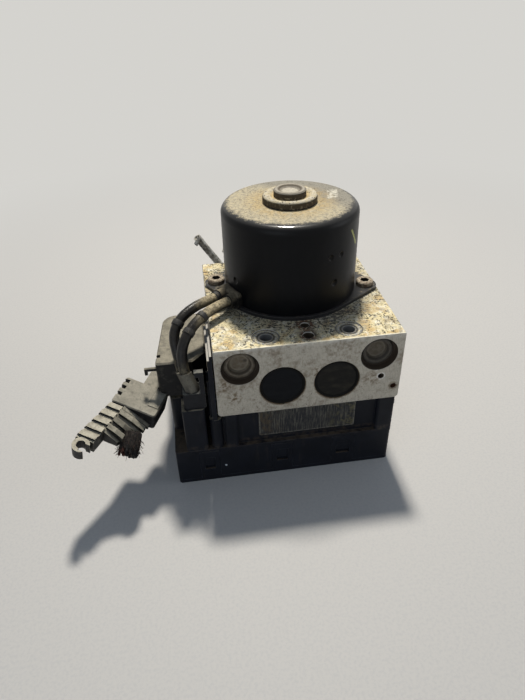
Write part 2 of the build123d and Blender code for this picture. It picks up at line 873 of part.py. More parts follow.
def ecu_housing():
    boss_foot = unit_screw_setback + unit_screw_head_height
    body = unit_outside() - unit_inside()
    body += [place * rod(unit_boss_radius, boss_foot, deck_bottom + 1) for place in unit_screw_places]
    cuts = [place * rod(screw_radius + fit_gap, 0, unit_height + 1) for place in unit_screw_places]
    cuts.append(slab(*window_plan, deck_bottom - 1, unit_height + 1, window_corner))
    cuts.append(seal_ring(0.0, unit_height + 1))
    cuts.append(slab(*grown(tower, -tower_wall), skirt_top + tower_floor, tower_top + 1, 1.0))
    cuts.append(slab(*grown(socket, -socket_wall), socket_floor, socket_top + 1, 1.5))
    pin_half = pin_size / 2 + slip_gap
    hole = slab(-pin_half, pin_half, -pin_half, pin_half, deck_bottom - 1, socket_floor + 1)
    cuts += [place * hole for place in pin_places()]
    cuts += [slab(*grown(blade(x), slip_gap), skirt_top - 5, skirt_top + 5) for x in blade_x]
    cuts += tab_boxes(fit_gap, tab_slot, 0, tab_top + loose_gap)
    return body - cuts + tab_catches()


def seal_ring(gap, top):
    # Gasket frame let into the deck round the valve window
    outer = seal_inset + seal_width - gap
    inner = seal_inset + gap
    bottom = unit_height - seal_depth
    frame = slab(*grown(window_plan, outer), bottom, top, window_corner + outer)
    return frame - slab(*grown(window_plan, inner), bottom - 1, top + 1, window_corner + inner)


def ecu_cover():
    body = slab(*unit_plan, 0, cover_thickness, skirt_corner)
    inset = unit_wall + cover_rim_gap
    rim_top = cover_thickness + cover_rim_rise
    rim = slab(*grown(unit_plan, -inset), 0, rim_top)
    body += rim - slab(*grown(unit_plan, -inset - cover_rim_wall), -1, rim_top + 1)
    body -= [place * rod(unit_boss_radius + loose_gap, -1, rim_top + 1) for place in unit_screw_places]
    bottom, top = tab_window
    for left, right in tab_spans():
        for front, back in ((unit_front, unit_front + tab_thickness), (unit_back - tab_thickness, unit_back)):
            tab = slab(left, right, front, back, cover_thickness / 2, tab_top)
            body += tab - slab(left + tab_side, right - tab_side, front - 1, back + 1, bottom, top)
    return body


chip_places = (-20.0, 5.0)
chip_sides = (20.0, 14.0)
chip_setback = 19.4
chip_y = unit_front + chip_setback
chip_thickness = 2.6
capacitor_places = (22.0, 34.0)
capacitor_radius = 5.0
capacitor_height = 8.5


def circuit_board():
    body = slab(*grown(unit_plan, -unit_wall - loose_gap), board_bottom, board_top)
    body -= [place * rod(unit_boss_radius + loose_gap, 0, unit_height) for place in unit_screw_places]
    # The two corners outside the right-hand bosses are notched away
    for front, back in ((unit_front, -unit_screw_y), (unit_screw_y, unit_back)):
        body -= slab(unit_screw_x, unit_right, front, back, 0, unit_height)
    return body


def board_chips():
    chips = []
    chip_top = board_top + chip_thickness
    for x, side in zip(chip_places, chip_sides):
        half = side / 2
        chips.append(slab(x - half, x + half, chip_y - half, chip_y + half, board_top, chip_top))
    for x in capacitor_places:
        chips.append(rod(capacitor_radius, board_top, board_top + capacitor_height, x, chip_y))
    return Compound(chips)


def ecu_screw():
    head_top = unit_screw_setback + unit_screw_head_height
    head = rod(unit_screw_head, unit_screw_setback, head_top)
    head -= extrude(RegularPolygon(unit_socket_radius, 6), unit_screw_setback + unit_socket_depth)
    return head + rod(screw_radius - press_gap, head_top, unit_height + unit_screw_grip - 1)


def connector_pins():
    half = pin_size / 2
    return Compound([place * slab(-half, half, -half, half, board_top, pin_top) for place in pin_places()])


def blade(x):
    thickness, width = blade_size
    return (x - thickness / 2, x + thickness / 2, blade_y - width / 2, blade_y + width / 2)


def motor_pins():
    return Compound([slab(*blade(x), board_top, blade_top) for x in blade_x])


def label_plate():
    body = slab(*label_span, upper_front - label_thickness, upper_front, *label_height)
    return fillet(body.edges().filter_by(Axis.Y), label_corner)


# Motor leads

grommet_width = 17.0
grommet_height = 8.0
grommet_round = 2.5
sleeve_length = 4.0
sleeve_wall = 1.0
sleeve_root = 2.5


def motor_grommet():
    centre = motor_place.position
    half_width, half_height = grommet_width / 2, grommet_height / 2
    body = lead_frame * slab(-grommet_depth, 0, -half_width, half_width, -half_height, half_height)
    top = lead_start.Z + half_height
    body = fillet(body.edges().filter_by_position(Axis.Z, top - 0.01, top + 0.01), grommet_round)
    body -= rod(can_radius + press_gap, block_top, can_roof, centre.X, centre.Y)
    for route in (front_lead_route, rear_lead_route):
        start = Vector(route[0])
        sleeve = Location(Plane(origin=start, z_dir=Vector(route[1]) - start))
        body += sleeve * rod(lead_radius + sleeve_wall, -sleeve_root, sleeve_length)
        body -= sleeve * rod(lead_radius + press_gap, 0, sleeve_length + 1)
    wall = motor_place * ring(can_radius + 1, can_radius - can_wall, flange_top, can_roof)
    return body + (grommet_tongue(slip_gap, -1.0) & wall)


def corner_radii(route):
    # The largest arc that each corner's two runs leave room for
    points = [Vector(p) for p in route]
    radii = []
    for before, corner, after in zip(points, points[1:], points[2:]):
        turn = (corner - before).get_angle(after - corner)
        run = min((corner - before).length, (after - corner).length)
        radii.append(0.45 * run / math.tan(math.radians(turn / 2)))
    return radii


def motor_lead(route):
    radii = corner_radii(route)
    print("lead radii", [round(r, 1) for r in radii])
    path = FilletPolyline(*route, radius=radii)
    body = sweep(Plane(origin=path @ 0, z_dir=path % 0) * Circle(lead_radius), path=path)
    print("lead volume", round(body.volume, 1), "of", round(math.pi * lead_radius ** 2 * path.length, 1))
    return body


plug_body_rise = 10.5
plug_insert_length = 10.0
plug_overhang = 1.0
latch_width = 3.0
latch_thickness = 2.5
latch_rise = 24.0
latch_thumb = 2.2
latch_beyond = 0.3
plug_front_step = 1.2
plug_back_step = 1.0
plug_corner = 1.5
insert_corner = 0.8
blade_gap = 0.6
# Boot: width, depth and corner at its foot, how far the foot lies left of the plug's middle,
# what its top adds to the width and depth of the leads, and the corner there
boot_foot = (8.6, 8.0, 2.2)
boot_shift = 0.6
boot_beyond_leads = (1.4, 1.2)
boot_corner = 2.4
plug_body = (tower[0] + tower_wall + fit_gap, tower[1] + plug_overhang,
             tower[2] + plug_front_step, tower[3] - plug_back_step)
plug_body_top = tower_top + plug_body_rise
plug_insert_bottom = tower_top - plug_insert_length
latch_right = plug_body[1] + latch_beyond
latch = (latch_right - latch_thickness, latch_right, plug_body[2], plug_body[2] + latch_width)
latch_top = tower_top + latch_rise


def motor_plug():
    body = slab(*plug_body, tower_top, plug_body_top, plug_corner)
    body += slab(*grown(tower, -tower_wall - fit_gap), plug_insert_bottom, tower_top + 1, insert_corner)
    wells = [slab(*grown(blade(x), blade_gap), plug_insert_bottom - 1, blade_top + 2) for x in blade_x]
    arm = slab(*latch, tower_top + 1, latch_top)
    arm += slab(latch[0] - latch_thumb, latch[1], latch[2], latch[3], latch_top - latch_width, latch_top)
    return body - wells + arm


def bevelled(width, height, corner):
    # Rectangle with its corners cut off
    x, y = width / 2, height / 2
    corners = ((x - corner, y), (corner - x, y), (-x, y - corner), (-x, corner - y),
               (corner - x, -y), (x - corner, -y), (x, corner - y), (x, y - corner))
    return make_face(Polyline(*corners, close=True))


def lead_boot():
    front_end = Vector(front_lead_route[-1])
    rear_end = Vector(rear_lead_route[-1])
    across = (front_end - rear_end).normalized()
    arrival = (front_end - Vector(front_lead_route[-2])).normalized()
    top = Plane(origin=(front_end + rear_end) / 2 + arrival * press_gap, x_dir=across, z_dir=-arrival)
    width = (front_end - rear_end).length + 2 * lead_radius + boot_beyond_leads[0]
    depth = 2 * lead_radius + boot_beyond_leads[1]
    foot_x = (plug_body[0] + plug_body[1]) / 2 - boot_shift
    foot_y = (plug_body[2] + plug_body[3]) / 2
    base = Plane(origin=(foot_x, foot_y, plug_body_top), x_dir=(across.X, across.Y, 0), z_dir=(0, 0, 1))
    return loft([base * bevelled(*boot_foot), top * bevelled(width, depth, boot_corner)], ruled=True)


# Harness plug

harness_gap = 0.3
harness_length = 49.0
harness_width = 27.4
harness_front_wall = 6.0
harness_height = 22.5
harness_skirt = 12.0
harness_corner = 8.0
harness_chamfer = (7.5, 8.0)
harness_taper = 4.5
harness_front_corner = 2.0
harness_edge = 0.8
core_corner = 1.2
pin_well = 1.5
# Notch in the left wall: depth, width, height
harness_notch = (3.0, 2.6, 5.0)
harness_notch_setback = 6.0
hook_reach = 6.0
hook_bar = 1.6
hook_drop = 4.0
hook_setback = 0.5
hook_below_top = 3.0
harness_right = fence_outer - harness_gap
harness_front = socket_front - harness_front_wall
harness = (harness_right - harness_width, harness_right, harness_front, harness_front + harness_length)
harness_bottom = socket_top - harness_skirt
harness_top = harness_bottom + harness_height


def lever_tip():
    # Tip of the locking lever: a bar out of the plug's front left corner that turns down at its end
    left, front = harness[0], harness[2] + hook_setback
    top = harness_top - hook_below_top
    tip = left - hook_reach
    body = slab(tip, left + 1, front, front + hook_bar, top - hook_bar, top)
    return body + slab(tip, tip + hook_bar, front, front + hook_bar, top - hook_drop, top)


def harness_plug():
    left, right, front, back = harness
    across, along = harness_chamfer
    plan = make_face(Polyline((left, front), (right - across, front), (right, front + along), (right, back),
                              (left + harness_taper, back), close=True))
    plan = fillet([v for v in plan.vertices() if v.X < right - 1 and v.Y > back - 1], harness_corner)
    plan = fillet([v for v in plan.vertices() if v.X < left + 1 and v.Y < front + 1], harness_front_corner)
    body = extrude(Pos(0, 0, harness_bottom) * plan, harness_top - harness_bottom)
    body = chamfer(body.faces().sort_by(Axis.Z)[-1].edges(), harness_edge)
    deep, wide, tall = harness_notch
    notch_front = front + harness_notch_setback
    body -= slab(left - 1, left + deep, notch_front, notch_front + wide, harness_top - tall, harness_top + 1)
    body += lever_tip()
    skirt = slab(*grown(socket, harness_gap), harness_bottom - 1, socket_top, unit_corner + harness_gap)
    core = slab(*grown(socket, -socket_wall - harness_gap), harness_bottom - 2, socket_top + 1, core_corner)
    pins = (pin_columns[0], pin_columns[1], pin_first, pin_first + (pin_rows - 1) * pin_pitch)
    core -= slab(*grown(pins, pin_well), 0, pin_top + 1)
    return body - (skirt - core)


# Wire cover and hood
# The outlet cover leans forward and left; its local X runs along its long side, Y towards the plug

outlet_step = (-9.9, -2.9, 4.4)
outlet_turn = -23.4
outlet_lean = 16.6
outlet_roll = 8.0
outlet_spot = Vector(harness[0], harness_front, harness_bottom) + Vector(*outlet_step)
outlet_place = Pos(*outlet_spot) * Rot(0, 0, outlet_turn) * Rot(0, outlet_lean, 0) * Rot(outlet_roll, 0, 0)
outlet_half_length = 12.7
outlet_half_width = 9.25
outlet_thickness = 11.0
outlet_corner = 1.6
outlet_edge = 0.6
# Neck from the outlet cover to the plug, and the raised field on the cover, as spans along X, Y and Z
neck = (-3.0, 5.5, 8.0, 24.0, -9.0, -2.0)
raised_field = (5.9, 11.9, -3.8, 7.2, -1.0, 0.4)
# Notches at the cover's left end: depth, width, height, and their places along Y
cover_notch = (3.0, 2.2, 4.0)
cover_notches = (6.3, 1.9, -3.0)
rib_pitch = 5.3
rib_width = 3.0
rib_rise = 1.3
left_ribs = 5
left_rib_start = 1.0
hood_gap = 0.1
hood_bottom = -10.0
hood_seam = -5.0
hood_left_edge = -13.0
hood_reach = 26.5
hood_left_drift = 5.4
hood_seam_drift = 3.2
tail_radius = 4.4
tail_hole = 2.3
tail_step = 3.4
tail_bottom = -8.0
tail_top = -1.0
lug_distance = 20.5
lug_length = 4.0
lug_width = 2.4
lug_beside_seam = 0.6
lug_top = -2.0


def section_at(distance, points):
    # A section across the hood, as far in front of the outlet cover's front edge as given
    return Plane.XZ.offset(outlet_half_width + distance) * make_face(Polyline(*points, close=True))


def wire_cover():
    length, width = outlet_half_length, outlet_half_width
    body = slab(-length, length, -width, width, -outlet_thickness, 0, outlet_corner)
    body = chamfer(body.faces().sort_by(Axis.Z)[-1].edges(), outlet_edge)
    body += slab(*raised_field)
    deep, wide, tall = cover_notch
    body -= [Pos(-length, y, 0) * Box(2 * deep, wide, 2 * tall) for y in cover_notches]
    body += slab(*neck)
    # The neck ends on the plug's left wall
    return outlet_place * body - slab(harness[0] - 0.02, harness[1], harness[2], harness[3], 0, harness_top)


def seam_at(distance):
    return hood_seam - hood_seam_drift * distance / hood_reach


def left_section(distance, rise=0.0):
    left = hood_left_edge - hood_left_drift * distance / hood_reach
    right = seam_at(distance) - hood_gap
    top = -rib_rise + rise
    return section_at(distance, ((left, hood_bottom), (right, hood_bottom), (right, top), (left + 1, top),
                                 (left, top - 1.5)))


def open_ring():
    # Strap end bent round into a ring that stays open on its right
    centre_x = (hood_left_edge + hood_seam - hood_left_drift - hood_seam_drift) / 2
    centre_y = -outlet_half_width - hood_reach - tail_step
    gap = Pos(tail_radius, -tail_radius / 4) * Rectangle(2 * tail_radius, tail_radius)
    plan = Circle(tail_radius) - Circle(tail_hole) - gap
    return Pos(centre_x, centre_y, tail_bottom) * extrude(plan, tail_top - tail_bottom)


def hood_left():
    body = loft([left_section(hood_gap), left_section(hood_reach)], ruled=True)
    for i in range(left_ribs):
        start = left_rib_start + i * rib_pitch
        body += loft([left_section(start, rib_rise), left_section(start + rib_width, rib_rise)], ruled=True)
    body += open_ring()
    lug_right = seam_at(lug_distance) - lug_beside_seam
    lug_left = lug_right - lug_width
    lug_bottom = hood_bottom + 1
    corners = ((lug_left, lug_bottom), (lug_right, lug_bottom), (lug_right, lug_top), (lug_left, lug_top))
    return outlet_place * (body + extrude(section_at(lug_distance, corners), lug_length))


# Reach to the right and drop of the right half's slope: collar, then each rib
hood_slopes = ((15.7, 7.4), (14.5, 7.4), (11.5, 8.3), (9.0, 5.0))
slope_knee = 0.42
collar_shrink = 0.4
collar_length = 2.2
right_rib_start = 2.6
right_web_overlap = 0.8
right_web_depth = 1.17


def right_section(distance, slope, shrink=0.0):
    reach, drop = slope
    seam = seam_at(distance)
    edge = seam + reach - shrink
    knee = (seam + reach / 2 - shrink, -drop * slope_knee - shrink)
    return section_at(distance, ((seam, hood_bottom), (edge, hood_bottom), (edge, -drop - shrink), knee,
                                 (seam, -shrink)))


def hood_right():
    body = extrude(right_section(hood_gap, hood_slopes[0], collar_shrink), collar_length)
    for i, (before, slope) in enumerate(zip(hood_slopes, hood_slopes[1:])):
        start = right_rib_start + i * rib_pitch
        root = right_section(start - right_web_overlap, before, right_web_depth + collar_shrink)
        body += loft([root, right_section(start + rib_pitch, slope, right_web_depth)], ruled=True)
        body += extrude(right_section(start, slope), rib_width)
    return outlet_place * body


stub_radius = 6.0
stub_start = (4.0, -17.5, -8.5)
stub_end = (7.5, -26.2, -12.8)
stub_wire_radius = 1.5
stub_wire_inset = 0.6
stub_wire_lengths = (4.5, 2.5, 5.5, 3.0, 6.0, 3.5)
middle_wire_length = 4.0


def harness_stub():
    # The cut harness: its tape sleeve with the ends of the wires standing out by different lengths
    line = Vector(stub_end) - Vector(stub_start)
    frame = Location(Plane(origin=stub_start, z_dir=line))
    body = rod(stub_radius, 0, line.length)
    for i, length in enumerate(stub_wire_lengths):
        x, y = around(i * 60, stub_radius - stub_wire_radius - stub_wire_inset)
        body += rod(stub_wire_radius, line.length - 1, line.length + length, x, y)
    body += rod(stub_wire_radius, line.length - 1, line.length + middle_wire_length)
    return outlet_place * frame * body


# Write every piece

save("valve_block", valve_block())
for side, sign in (("left", -1), ("right", 1)):
    place = front_at(sign * accumulator_x, accumulator_z)
    save("accumulator_cap_" + side, place * accumulator_cap())
    save("accumulator_piston_" + side, place * accumulator_piston())
    save("accumulator_spring_" + side, place * accumulator_spring())
    save("damper_plug_" + side, front_at(sign * damper_x, damper_z) * damper_plug())
    place = Pos(0, motor_y, pump_z) * (LEFT if sign < 0 else RIGHT)
    save("pump_plug_" + side, place * pump_plug())
    save("pump_cylinder_" + side, place * pump_cylinder())
    save("pump_piston_" + side, place * pump_piston())
    save("pump_spring_" + side, place * pump_spring())
save("inlet_valves", row_of(valve(inlet_valve_length), valve_rows[0]))
save("outlet_valves", row_of(valve(outlet_valve_length), valve_rows[1]))
save("inlet_coils", row_of(valve_coil(), valve_rows[0]))
save("outlet_coils", row_of(valve_coil(), valve_rows[1]))
save("tube_nuts", Compound([tube_nut(x) for x in (long_pipe_x, short_pipe_x)]))
save("brake_pipe_long", brake_pipe(long_pipe_x, long_pipe_lean, long_pipe_cut))
save("brake_pipe_short", brake_pipe(short_pipe_x, short_pipe_lean, short_pipe_cut))
save("motor_can", pump_motor_can())
save("motor_flange", motor_flange())
save("motor_screws", Compound([place * motor_screw() for place in ear_places]))
save("drive_bearing", motor_place * Pos(0, 0, block_top) * ball_bearing(drive_bearing_size))
top_bearing_place = motor_place * Pos(0, 0, bearing_top - top_bearing_size[2])
save("top_bearing", top_bearing_place * ball_bearing(top_bearing_size))
save("motor_magnets", magnets())
save("armature_core", armature_core())
save("armature_winding", armature_winding())
save("commutator", commutator())
save("motor_shaft", motor_shaft())
save("eccentric_bearing", eccentric_bearing())
save("pilot_bush", pilot_bush())
save("brush_holder", brush_holder())
save("carbon_brushes", brush_pair(carbon_brush()))
save("brush_springs", brush_pair(brush_spring()))
save("ecu_housing", ecu_housing())
save("ecu_cover", ecu_cover())
save("ecu_seal", seal_ring(press_gap, unit_height))
save("ecu_screws", Compound([place * ecu_screw() for place in unit_screw_places]))
save("circuit_board", circuit_board())
save("board_chips", board_chips())
save("connector_pins", connector_pins())
save("motor_pins", motor_pins())
save("label_plate", label_plate())
save("motor_grommet", motor_grommet())
save("motor_lead_front", motor_lead(front_lead_route))
save("motor_lead_rear", motor_lead(rear_lead_route))
save("lead_boot", lead_boot())
save("motor_plug", motor_plug())
save("harness_plug", harness_plug())
save("wire_cover", wire_cover())
save("hood_left", hood_left())
save("hood_right", hood_right())
save("harness_stub", harness_stub() - hood_left() - hood_right() - wire_cover())
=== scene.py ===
import json
import math
import random
import bpy
from mathutils import Matrix, Vector


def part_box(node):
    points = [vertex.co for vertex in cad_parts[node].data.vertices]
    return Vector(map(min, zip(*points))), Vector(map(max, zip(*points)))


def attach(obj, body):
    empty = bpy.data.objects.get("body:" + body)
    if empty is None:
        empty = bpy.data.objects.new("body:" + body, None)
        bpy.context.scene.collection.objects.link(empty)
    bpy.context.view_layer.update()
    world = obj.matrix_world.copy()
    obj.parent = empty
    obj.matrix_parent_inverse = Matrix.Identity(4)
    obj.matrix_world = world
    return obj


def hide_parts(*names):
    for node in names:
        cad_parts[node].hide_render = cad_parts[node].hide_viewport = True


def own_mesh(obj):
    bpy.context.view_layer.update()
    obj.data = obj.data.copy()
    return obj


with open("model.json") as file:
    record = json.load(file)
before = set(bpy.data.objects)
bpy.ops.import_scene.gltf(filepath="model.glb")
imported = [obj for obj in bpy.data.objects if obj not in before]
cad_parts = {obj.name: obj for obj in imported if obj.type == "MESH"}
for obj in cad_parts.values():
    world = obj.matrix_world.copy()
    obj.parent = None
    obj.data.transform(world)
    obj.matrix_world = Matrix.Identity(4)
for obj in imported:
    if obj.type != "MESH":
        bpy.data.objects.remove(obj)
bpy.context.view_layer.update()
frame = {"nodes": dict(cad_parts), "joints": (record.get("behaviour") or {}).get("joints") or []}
nodes = frame["nodes"]
mm = 0.001
print("frame loaded,", len(nodes), "pieces")


# Camera, lamps and floor

cameraSetup = {
    "place": (-52.6, -271.6, 247.8), "turn": -7.09, "tilt": 35.31, "roll": -1.80, "lens": 28.18, "sensor": 36,
    "nearest": 0.01, "furthest": 60,
}
lampTarget = (0, 0, 60)
lampSetup = {
    "key": {"place": (40, 390, 980), "size": 0.11, "power": 12.4, "colour": (1.0, 0.95, 0.86)},
    "front": {"place": (-420, -620, 420), "size": 0.55, "power": 0.8, "colour": (0.80, 0.90, 1.0)},
    "right": {"place": (760, -120, 380), "size": 0.50, "power": 1.0, "colour": (0.93, 0.96, 1.0)},
}
floorSetup = {
    "size": 14.0, "colour": (0.49, 0.48, 0.465), "speck": (0.45, 0.445, 0.44), "fade": (180, 620),
    "backdrop": (0.66, 0.65, 0.62), "air": (0.50, 0.62, 0.80), "strength": 0.24,
}


def addCamera(setup):
    camera = bpy.data.objects.new("mainCamera", bpy.data.cameras.new("mainCamera"))
    bpy.context.scene.collection.objects.link(camera)
    camera.data.sensor_fit = "VERTICAL"
    camera.data.sensor_height = setup["sensor"]
    camera.data.lens = setup["lens"]
    camera.data.clip_start = setup["nearest"]
    camera.data.clip_end = setup["furthest"]
    spin = Matrix.Rotation(math.radians(setup["turn"]), 4, "Z")
    spin = spin @ Matrix.Rotation(math.radians(90 - setup["tilt"]), 4, "X")
    spin = spin @ Matrix.Rotation(math.radians(setup["roll"]), 4, "Z")
    camera.matrix_world = Matrix.Translation(Vector(setup["place"]) * mm) @ spin
    bpy.context.scene.camera = camera


def addLamp(name, setup):
    lamp = bpy.data.objects.new(name + "Lamp", bpy.data.lights.new(name + "Lamp", "AREA"))
    bpy.context.scene.collection.objects.link(lamp)
    lamp.data.shape = "DISK"
    lamp.data.size = setup["size"]
    lamp.data.energy = setup["power"]
    lamp.data.color = setup["colour"]
    lamp.location = Vector(setup["place"]) * mm
    lamp.rotation_mode = "QUATERNION"
    lamp.rotation_quaternion = (Vector(lampTarget) - Vector(setup["place"])).to_track_quat("-Z", "Y")


bpy.context.scene.view_settings.view_transform = "Standard"
addCamera(cameraSetup)
for lampName in lampSetup:
    addLamp(lampName, lampSetup[lampName])


upright = (1, 1, 0)  # shares of X, Y and Z in a distance from an upright line
acrossFront = (1, 0, 1)  # and from a line that runs from front to back
motorAxis = (0, 11.5, 0)
canRadius = 37.7
smoothAngle = math.radians(40)


# Shader sums: a Wire stands for a socket and takes part in sums as a number does

class Wire:
    def __init__(self, finish, socket):
        self.finish = finish
        self.socket = socket

    def sum(self, operation, first, second=0.0):
        return self.finish.node("ShaderNodeMath", {"operation": operation}, {0: first, 1: second})

    def __add__(self, other):
        return self.sum("ADD", self, other)

    def __sub__(self, other):
        return self.sum("SUBTRACT", self, other)

    def __rsub__(self, other):
        return self.sum("SUBTRACT", other, self)

    def __mul__(self, other):
        return self.sum("MULTIPLY", self, other)

    __radd__, __rmul__ = __add__, __mul__

    def __truediv__(self, other):
        return self.sum("DIVIDE", self, other)

    def __abs__(self):
        return self.sum("ABSOLUTE", self)

    def __or__(self, other):
        return self.sum("MAXIMUM", self, other)

    def sine(self):
        return self.sum("SINE", self)

    def between(self, low, high):
        # 0 below low, 1 above high, smooth from one to the other
        steps = {"Value": self, "From Min": low, "From Max": high}
        return self.finish.node("ShaderNodeMapRange", {"interpolation_type": "SMOOTHSTEP"}, steps)

    def below(self, low, high):
        return 1 - self.between(low, high)

    def ridge(self, middle, low, high):
        # 1 within low of the middle, 0 further off than high
        return abs(self - middle).below(low, high)


class Finish:
    # A material under construction; places and sizes are in millimetres
    def __init__(self, name):
        self.material = bpy.data.materials.new(name)
        self.material.use_nodes = True
        self.tree = self.material.node_tree
        self.tree.nodes.clear()
        place = self.node("ShaderNodeTexCoord", out="Object")
        self.place = self.node("ShaderNodeVectorMath", {"operation": "SCALE"}, {0: place, "Scale": 1000.0})
        self.x, self.y, self.z = self.parts(self.place)
        self.right, self.back, self.up = self.parts(self.node("ShaderNodeTexCoord", out="Normal"))

    def node(self, kind, settings={}, inputs={}, out=0):
        made = self.tree.nodes.new(kind)
        for key, value in settings.items():
            setattr(made, key, value)
        for key, value in inputs.items():
            if isinstance(value, Wire):
                self.tree.links.new(value.socket, made.inputs[key])
            else:
                made.inputs[key].default_value = value
        return Wire(self, made.outputs[out]) if made.outputs else None

    def parts(self, vector):
        first = self.node("ShaderNodeSeparateXYZ", {}, {0: vector})
        return [Wire(self, socket) for socket in first.socket.node.outputs]

    def stretched(self, scale, seed):
        shift = (seed * 31.7, seed * 17.3, seed * 53.9)
        return self.node("ShaderNodeMapping", {}, {"Vector": self.place, "Location": shift, "Scale": scale})

    def noise(self, size, seed=0, detail=3.0, stretch=(1, 1, 1)):
        scale = [s / size for s in stretch]
        inputs = {"Vector": self.stretched(scale, seed), "Scale": 1.0, "Detail": detail, "Roughness": 0.6}
        return self.node("ShaderNodeTexNoise", {}, inputs)

    def cells(self, size, seed=0):
        inputs = {"Vector": self.stretched([1 / size] * 3, seed), "Scale": 1.0}
        return self.node("ShaderNodeTexVoronoi", {}, inputs)

    def mix(self, first, second, share):
        colours = [colour if isinstance(colour, Wire) else (*colour, 1) for colour in (first, second)]
        return self.node("ShaderNodeMix", {"data_type": "RGBA"}, {0: share, 6: colours[0], 7: colours[1]}, 2)

    def away(self, point, along=(1, 1, 1)):
        # Distance from a point, or from a line through it along the axis whose share is 0
        flat = self.node("ShaderNodeVectorMath", {"operation": "MULTIPLY"}, {0: self.place, 1: along})
        centre = [p * a for p, a in zip(point, along)]
        return self.node("ShaderNodeVectorMath", {"operation": "DISTANCE"}, {0: flat, 1: centre}, "Value")

    def near(self, point, radius, soft, along=(1, 1, 1)):
        return 1 - self.away(point, along).between(radius - soft, radius + soft)

    def edges(self, width, low=0.03, high=0.30):
        # Where the surface turns a corner
        bent = self.node("ShaderNodeBevel", {"samples": 6}, {"Radius": width * mm})
        plain = self.node("ShaderNodeNewGeometry", out="Normal")
        same = self.node("ShaderNodeVectorMath", {"operation": "DOT_PRODUCT"}, {0: bent, 1: plain}, "Value")
        return (1 - same).between(low, high)

    def crevices(self, reach, low=0.45, high=0.85):
        # Where neighbouring surfaces close the surface in; the mask serves to paint shade there
        clear = self.node("ShaderNodeAmbientOcclusion", {"samples": 4}, {"Distance": reach * mm}, "AO")
        return 1 - clear.between(low, high)

    def close(self, colour, roughness, metallic=0.0, height=None, relief=0.1, soft=0.25, constants={}):
        # A height of 0 to 1 stands for relief millimetres; soft is the radius that edges seem to have
        inputs = {"Base Color": colour if isinstance(colour, Wire) else (*colour, 1)}
        inputs["Roughness"] = roughness
        inputs["Metallic"] = metallic
        rounded = self.node("ShaderNodeBevel", {"samples": 4}, {"Radius": soft * mm})
        inputs["Normal"] = rounded
        if height is not None:
            bump = {"Height": height, "Distance": relief * mm, "Strength": 1.0, "Normal": rounded}
            inputs["Normal"] = self.node("ShaderNodeBump", {}, bump)
        inputs.update(constants)
        return self.show(self.node("ShaderNodeBsdfPrincipled", {}, inputs))

    def seen(self):
        # 1 for the rays that show the backdrop itself: the camera's, those off gloss and those through glass
        rays = ("Is Camera Ray", "Is Glossy Ray", "Is Transmission Ray")
        camera, gloss, glass = [self.node("ShaderNodeLightPath", out=kind) for kind in rays]
        return camera | gloss | glass

    def show(self, surface):
        self.node("ShaderNodeOutputMaterial", {}, {"Surface": surface})
        return self.material


def dress(material, *names):
    for name in names:
        for slot in nodes[name].material_slots:
            slot.material = material


# New pieces: their meshes are made in place, so that their objects sit unturned at the origin

def chosen(made):
    # Makes it the active object and the only selected one
    bpy.ops.object.select_all(action="DESELECT")
    bpy.context.view_layer.objects.active = made
    made.select_set(True)


def linked(name, data):
    made = bpy.data.objects.new(name, data)
    bpy.context.scene.collection.objects.link(made)
    chosen(made)
    return made


def strands(name, routes, radius, rings, steps=12):
    # Round wires through NURBS routes in millimetres, and the points of their middle lines in metres
    line = bpy.data.curves.new(name, "CURVE")
    line.dimensions = "3D"
    for route in routes:
        spline = line.splines.new("NURBS")
        spline.points.add(len(route) - 1)
        for point, spot in zip(spline.points, route):
            point.co = (*(Vector(spot) * mm), 1)
        spline.order_u = 3
        spline.use_endpoint_u = True
        spline.resolution_u = steps
    made = linked(name, line)
    bare = bpy.data.meshes.new_from_object(made)
    middle = [vertex.co.copy() for vertex in bare.vertices]
    bpy.data.meshes.remove(bare)
    line.bevel_depth = radius * mm
    line.bevel_resolution = rings
    line.use_fill_caps = True
    return made, middle


def sleeve(name, radius, start, end, sides, ends="NOTHING"):
    # A tube of one wall from start to end, in millimetres
    axis = Vector(end) - Vector(start)
    bpy.ops.object.select_all(action="DESELECT")
    bpy.ops.mesh.primitive_cylinder_add(
        vertices=sides, radius=radius * mm, depth=axis.length * mm, end_fill_type=ends,
        location=(Vector(start) + Vector(end)) / 2 * mm, rotation=axis.to_track_quat("Z", "Y").to_euler())
    made = bpy.context.object
    made.name = name
    made.data.name = name
    bpy.ops.object.transform_apply(location=True, rotation=True, scale=True)
    return made


def applied(made, *modifiers):
    # Adds modifiers of these kinds and settings in turn and applies each
    chosen(made)
    for kind, settings in modifiers:
        modifier = made.modifiers.new(kind, kind)
        for key, value in settings.items():
            setattr(modifier, key, value)
        bpy.ops.object.modifier_apply(modifier=modifier.name)
    bpy.ops.object.shade_smooth_by_angle(angle=smoothAngle)


def finished(made, material, slot, *replaced):
    made.data.materials.clear()
    made.data.materials.append(material)
    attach(made, "module")
    if replaced:
        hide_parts(*replaced)


# Floor

def floorMaterial(setup):
    # Far from the object the floor gives way to the backdrop's own colour, so that no horizon shows
    finish = Finish("paleFloor")
    colour = finish.mix(setup["colour"], setup["speck"], finish.noise(1.4, 1, 4).between(0.40, 0.70))
    plain = finish.node("ShaderNodeBsdfPrincipled", {}, {"Base Color": colour, "Roughness": 0.65})
    glow = finish.node("ShaderNodeEmission", {}, {"Color": (*setup["backdrop"], 1), "Strength": 1.0})
    far = finish.away((0, 0, 0), upright).between(*setup["fade"]) * finish.seen()
    return finish.show(finish.node("ShaderNodeMixShader", {}, {0: far, 1: plain, 2: glow}))


def addFloor(setup):
    bpy.ops.object.select_all(action="DESELECT")
    bpy.ops.mesh.primitive_plane_add(size=setup["size"], location=(0, 0, 0))
    floor = bpy.context.object
    floor.name = "paleFloor"
    floor.data.materials.append(floorMaterial(setup))


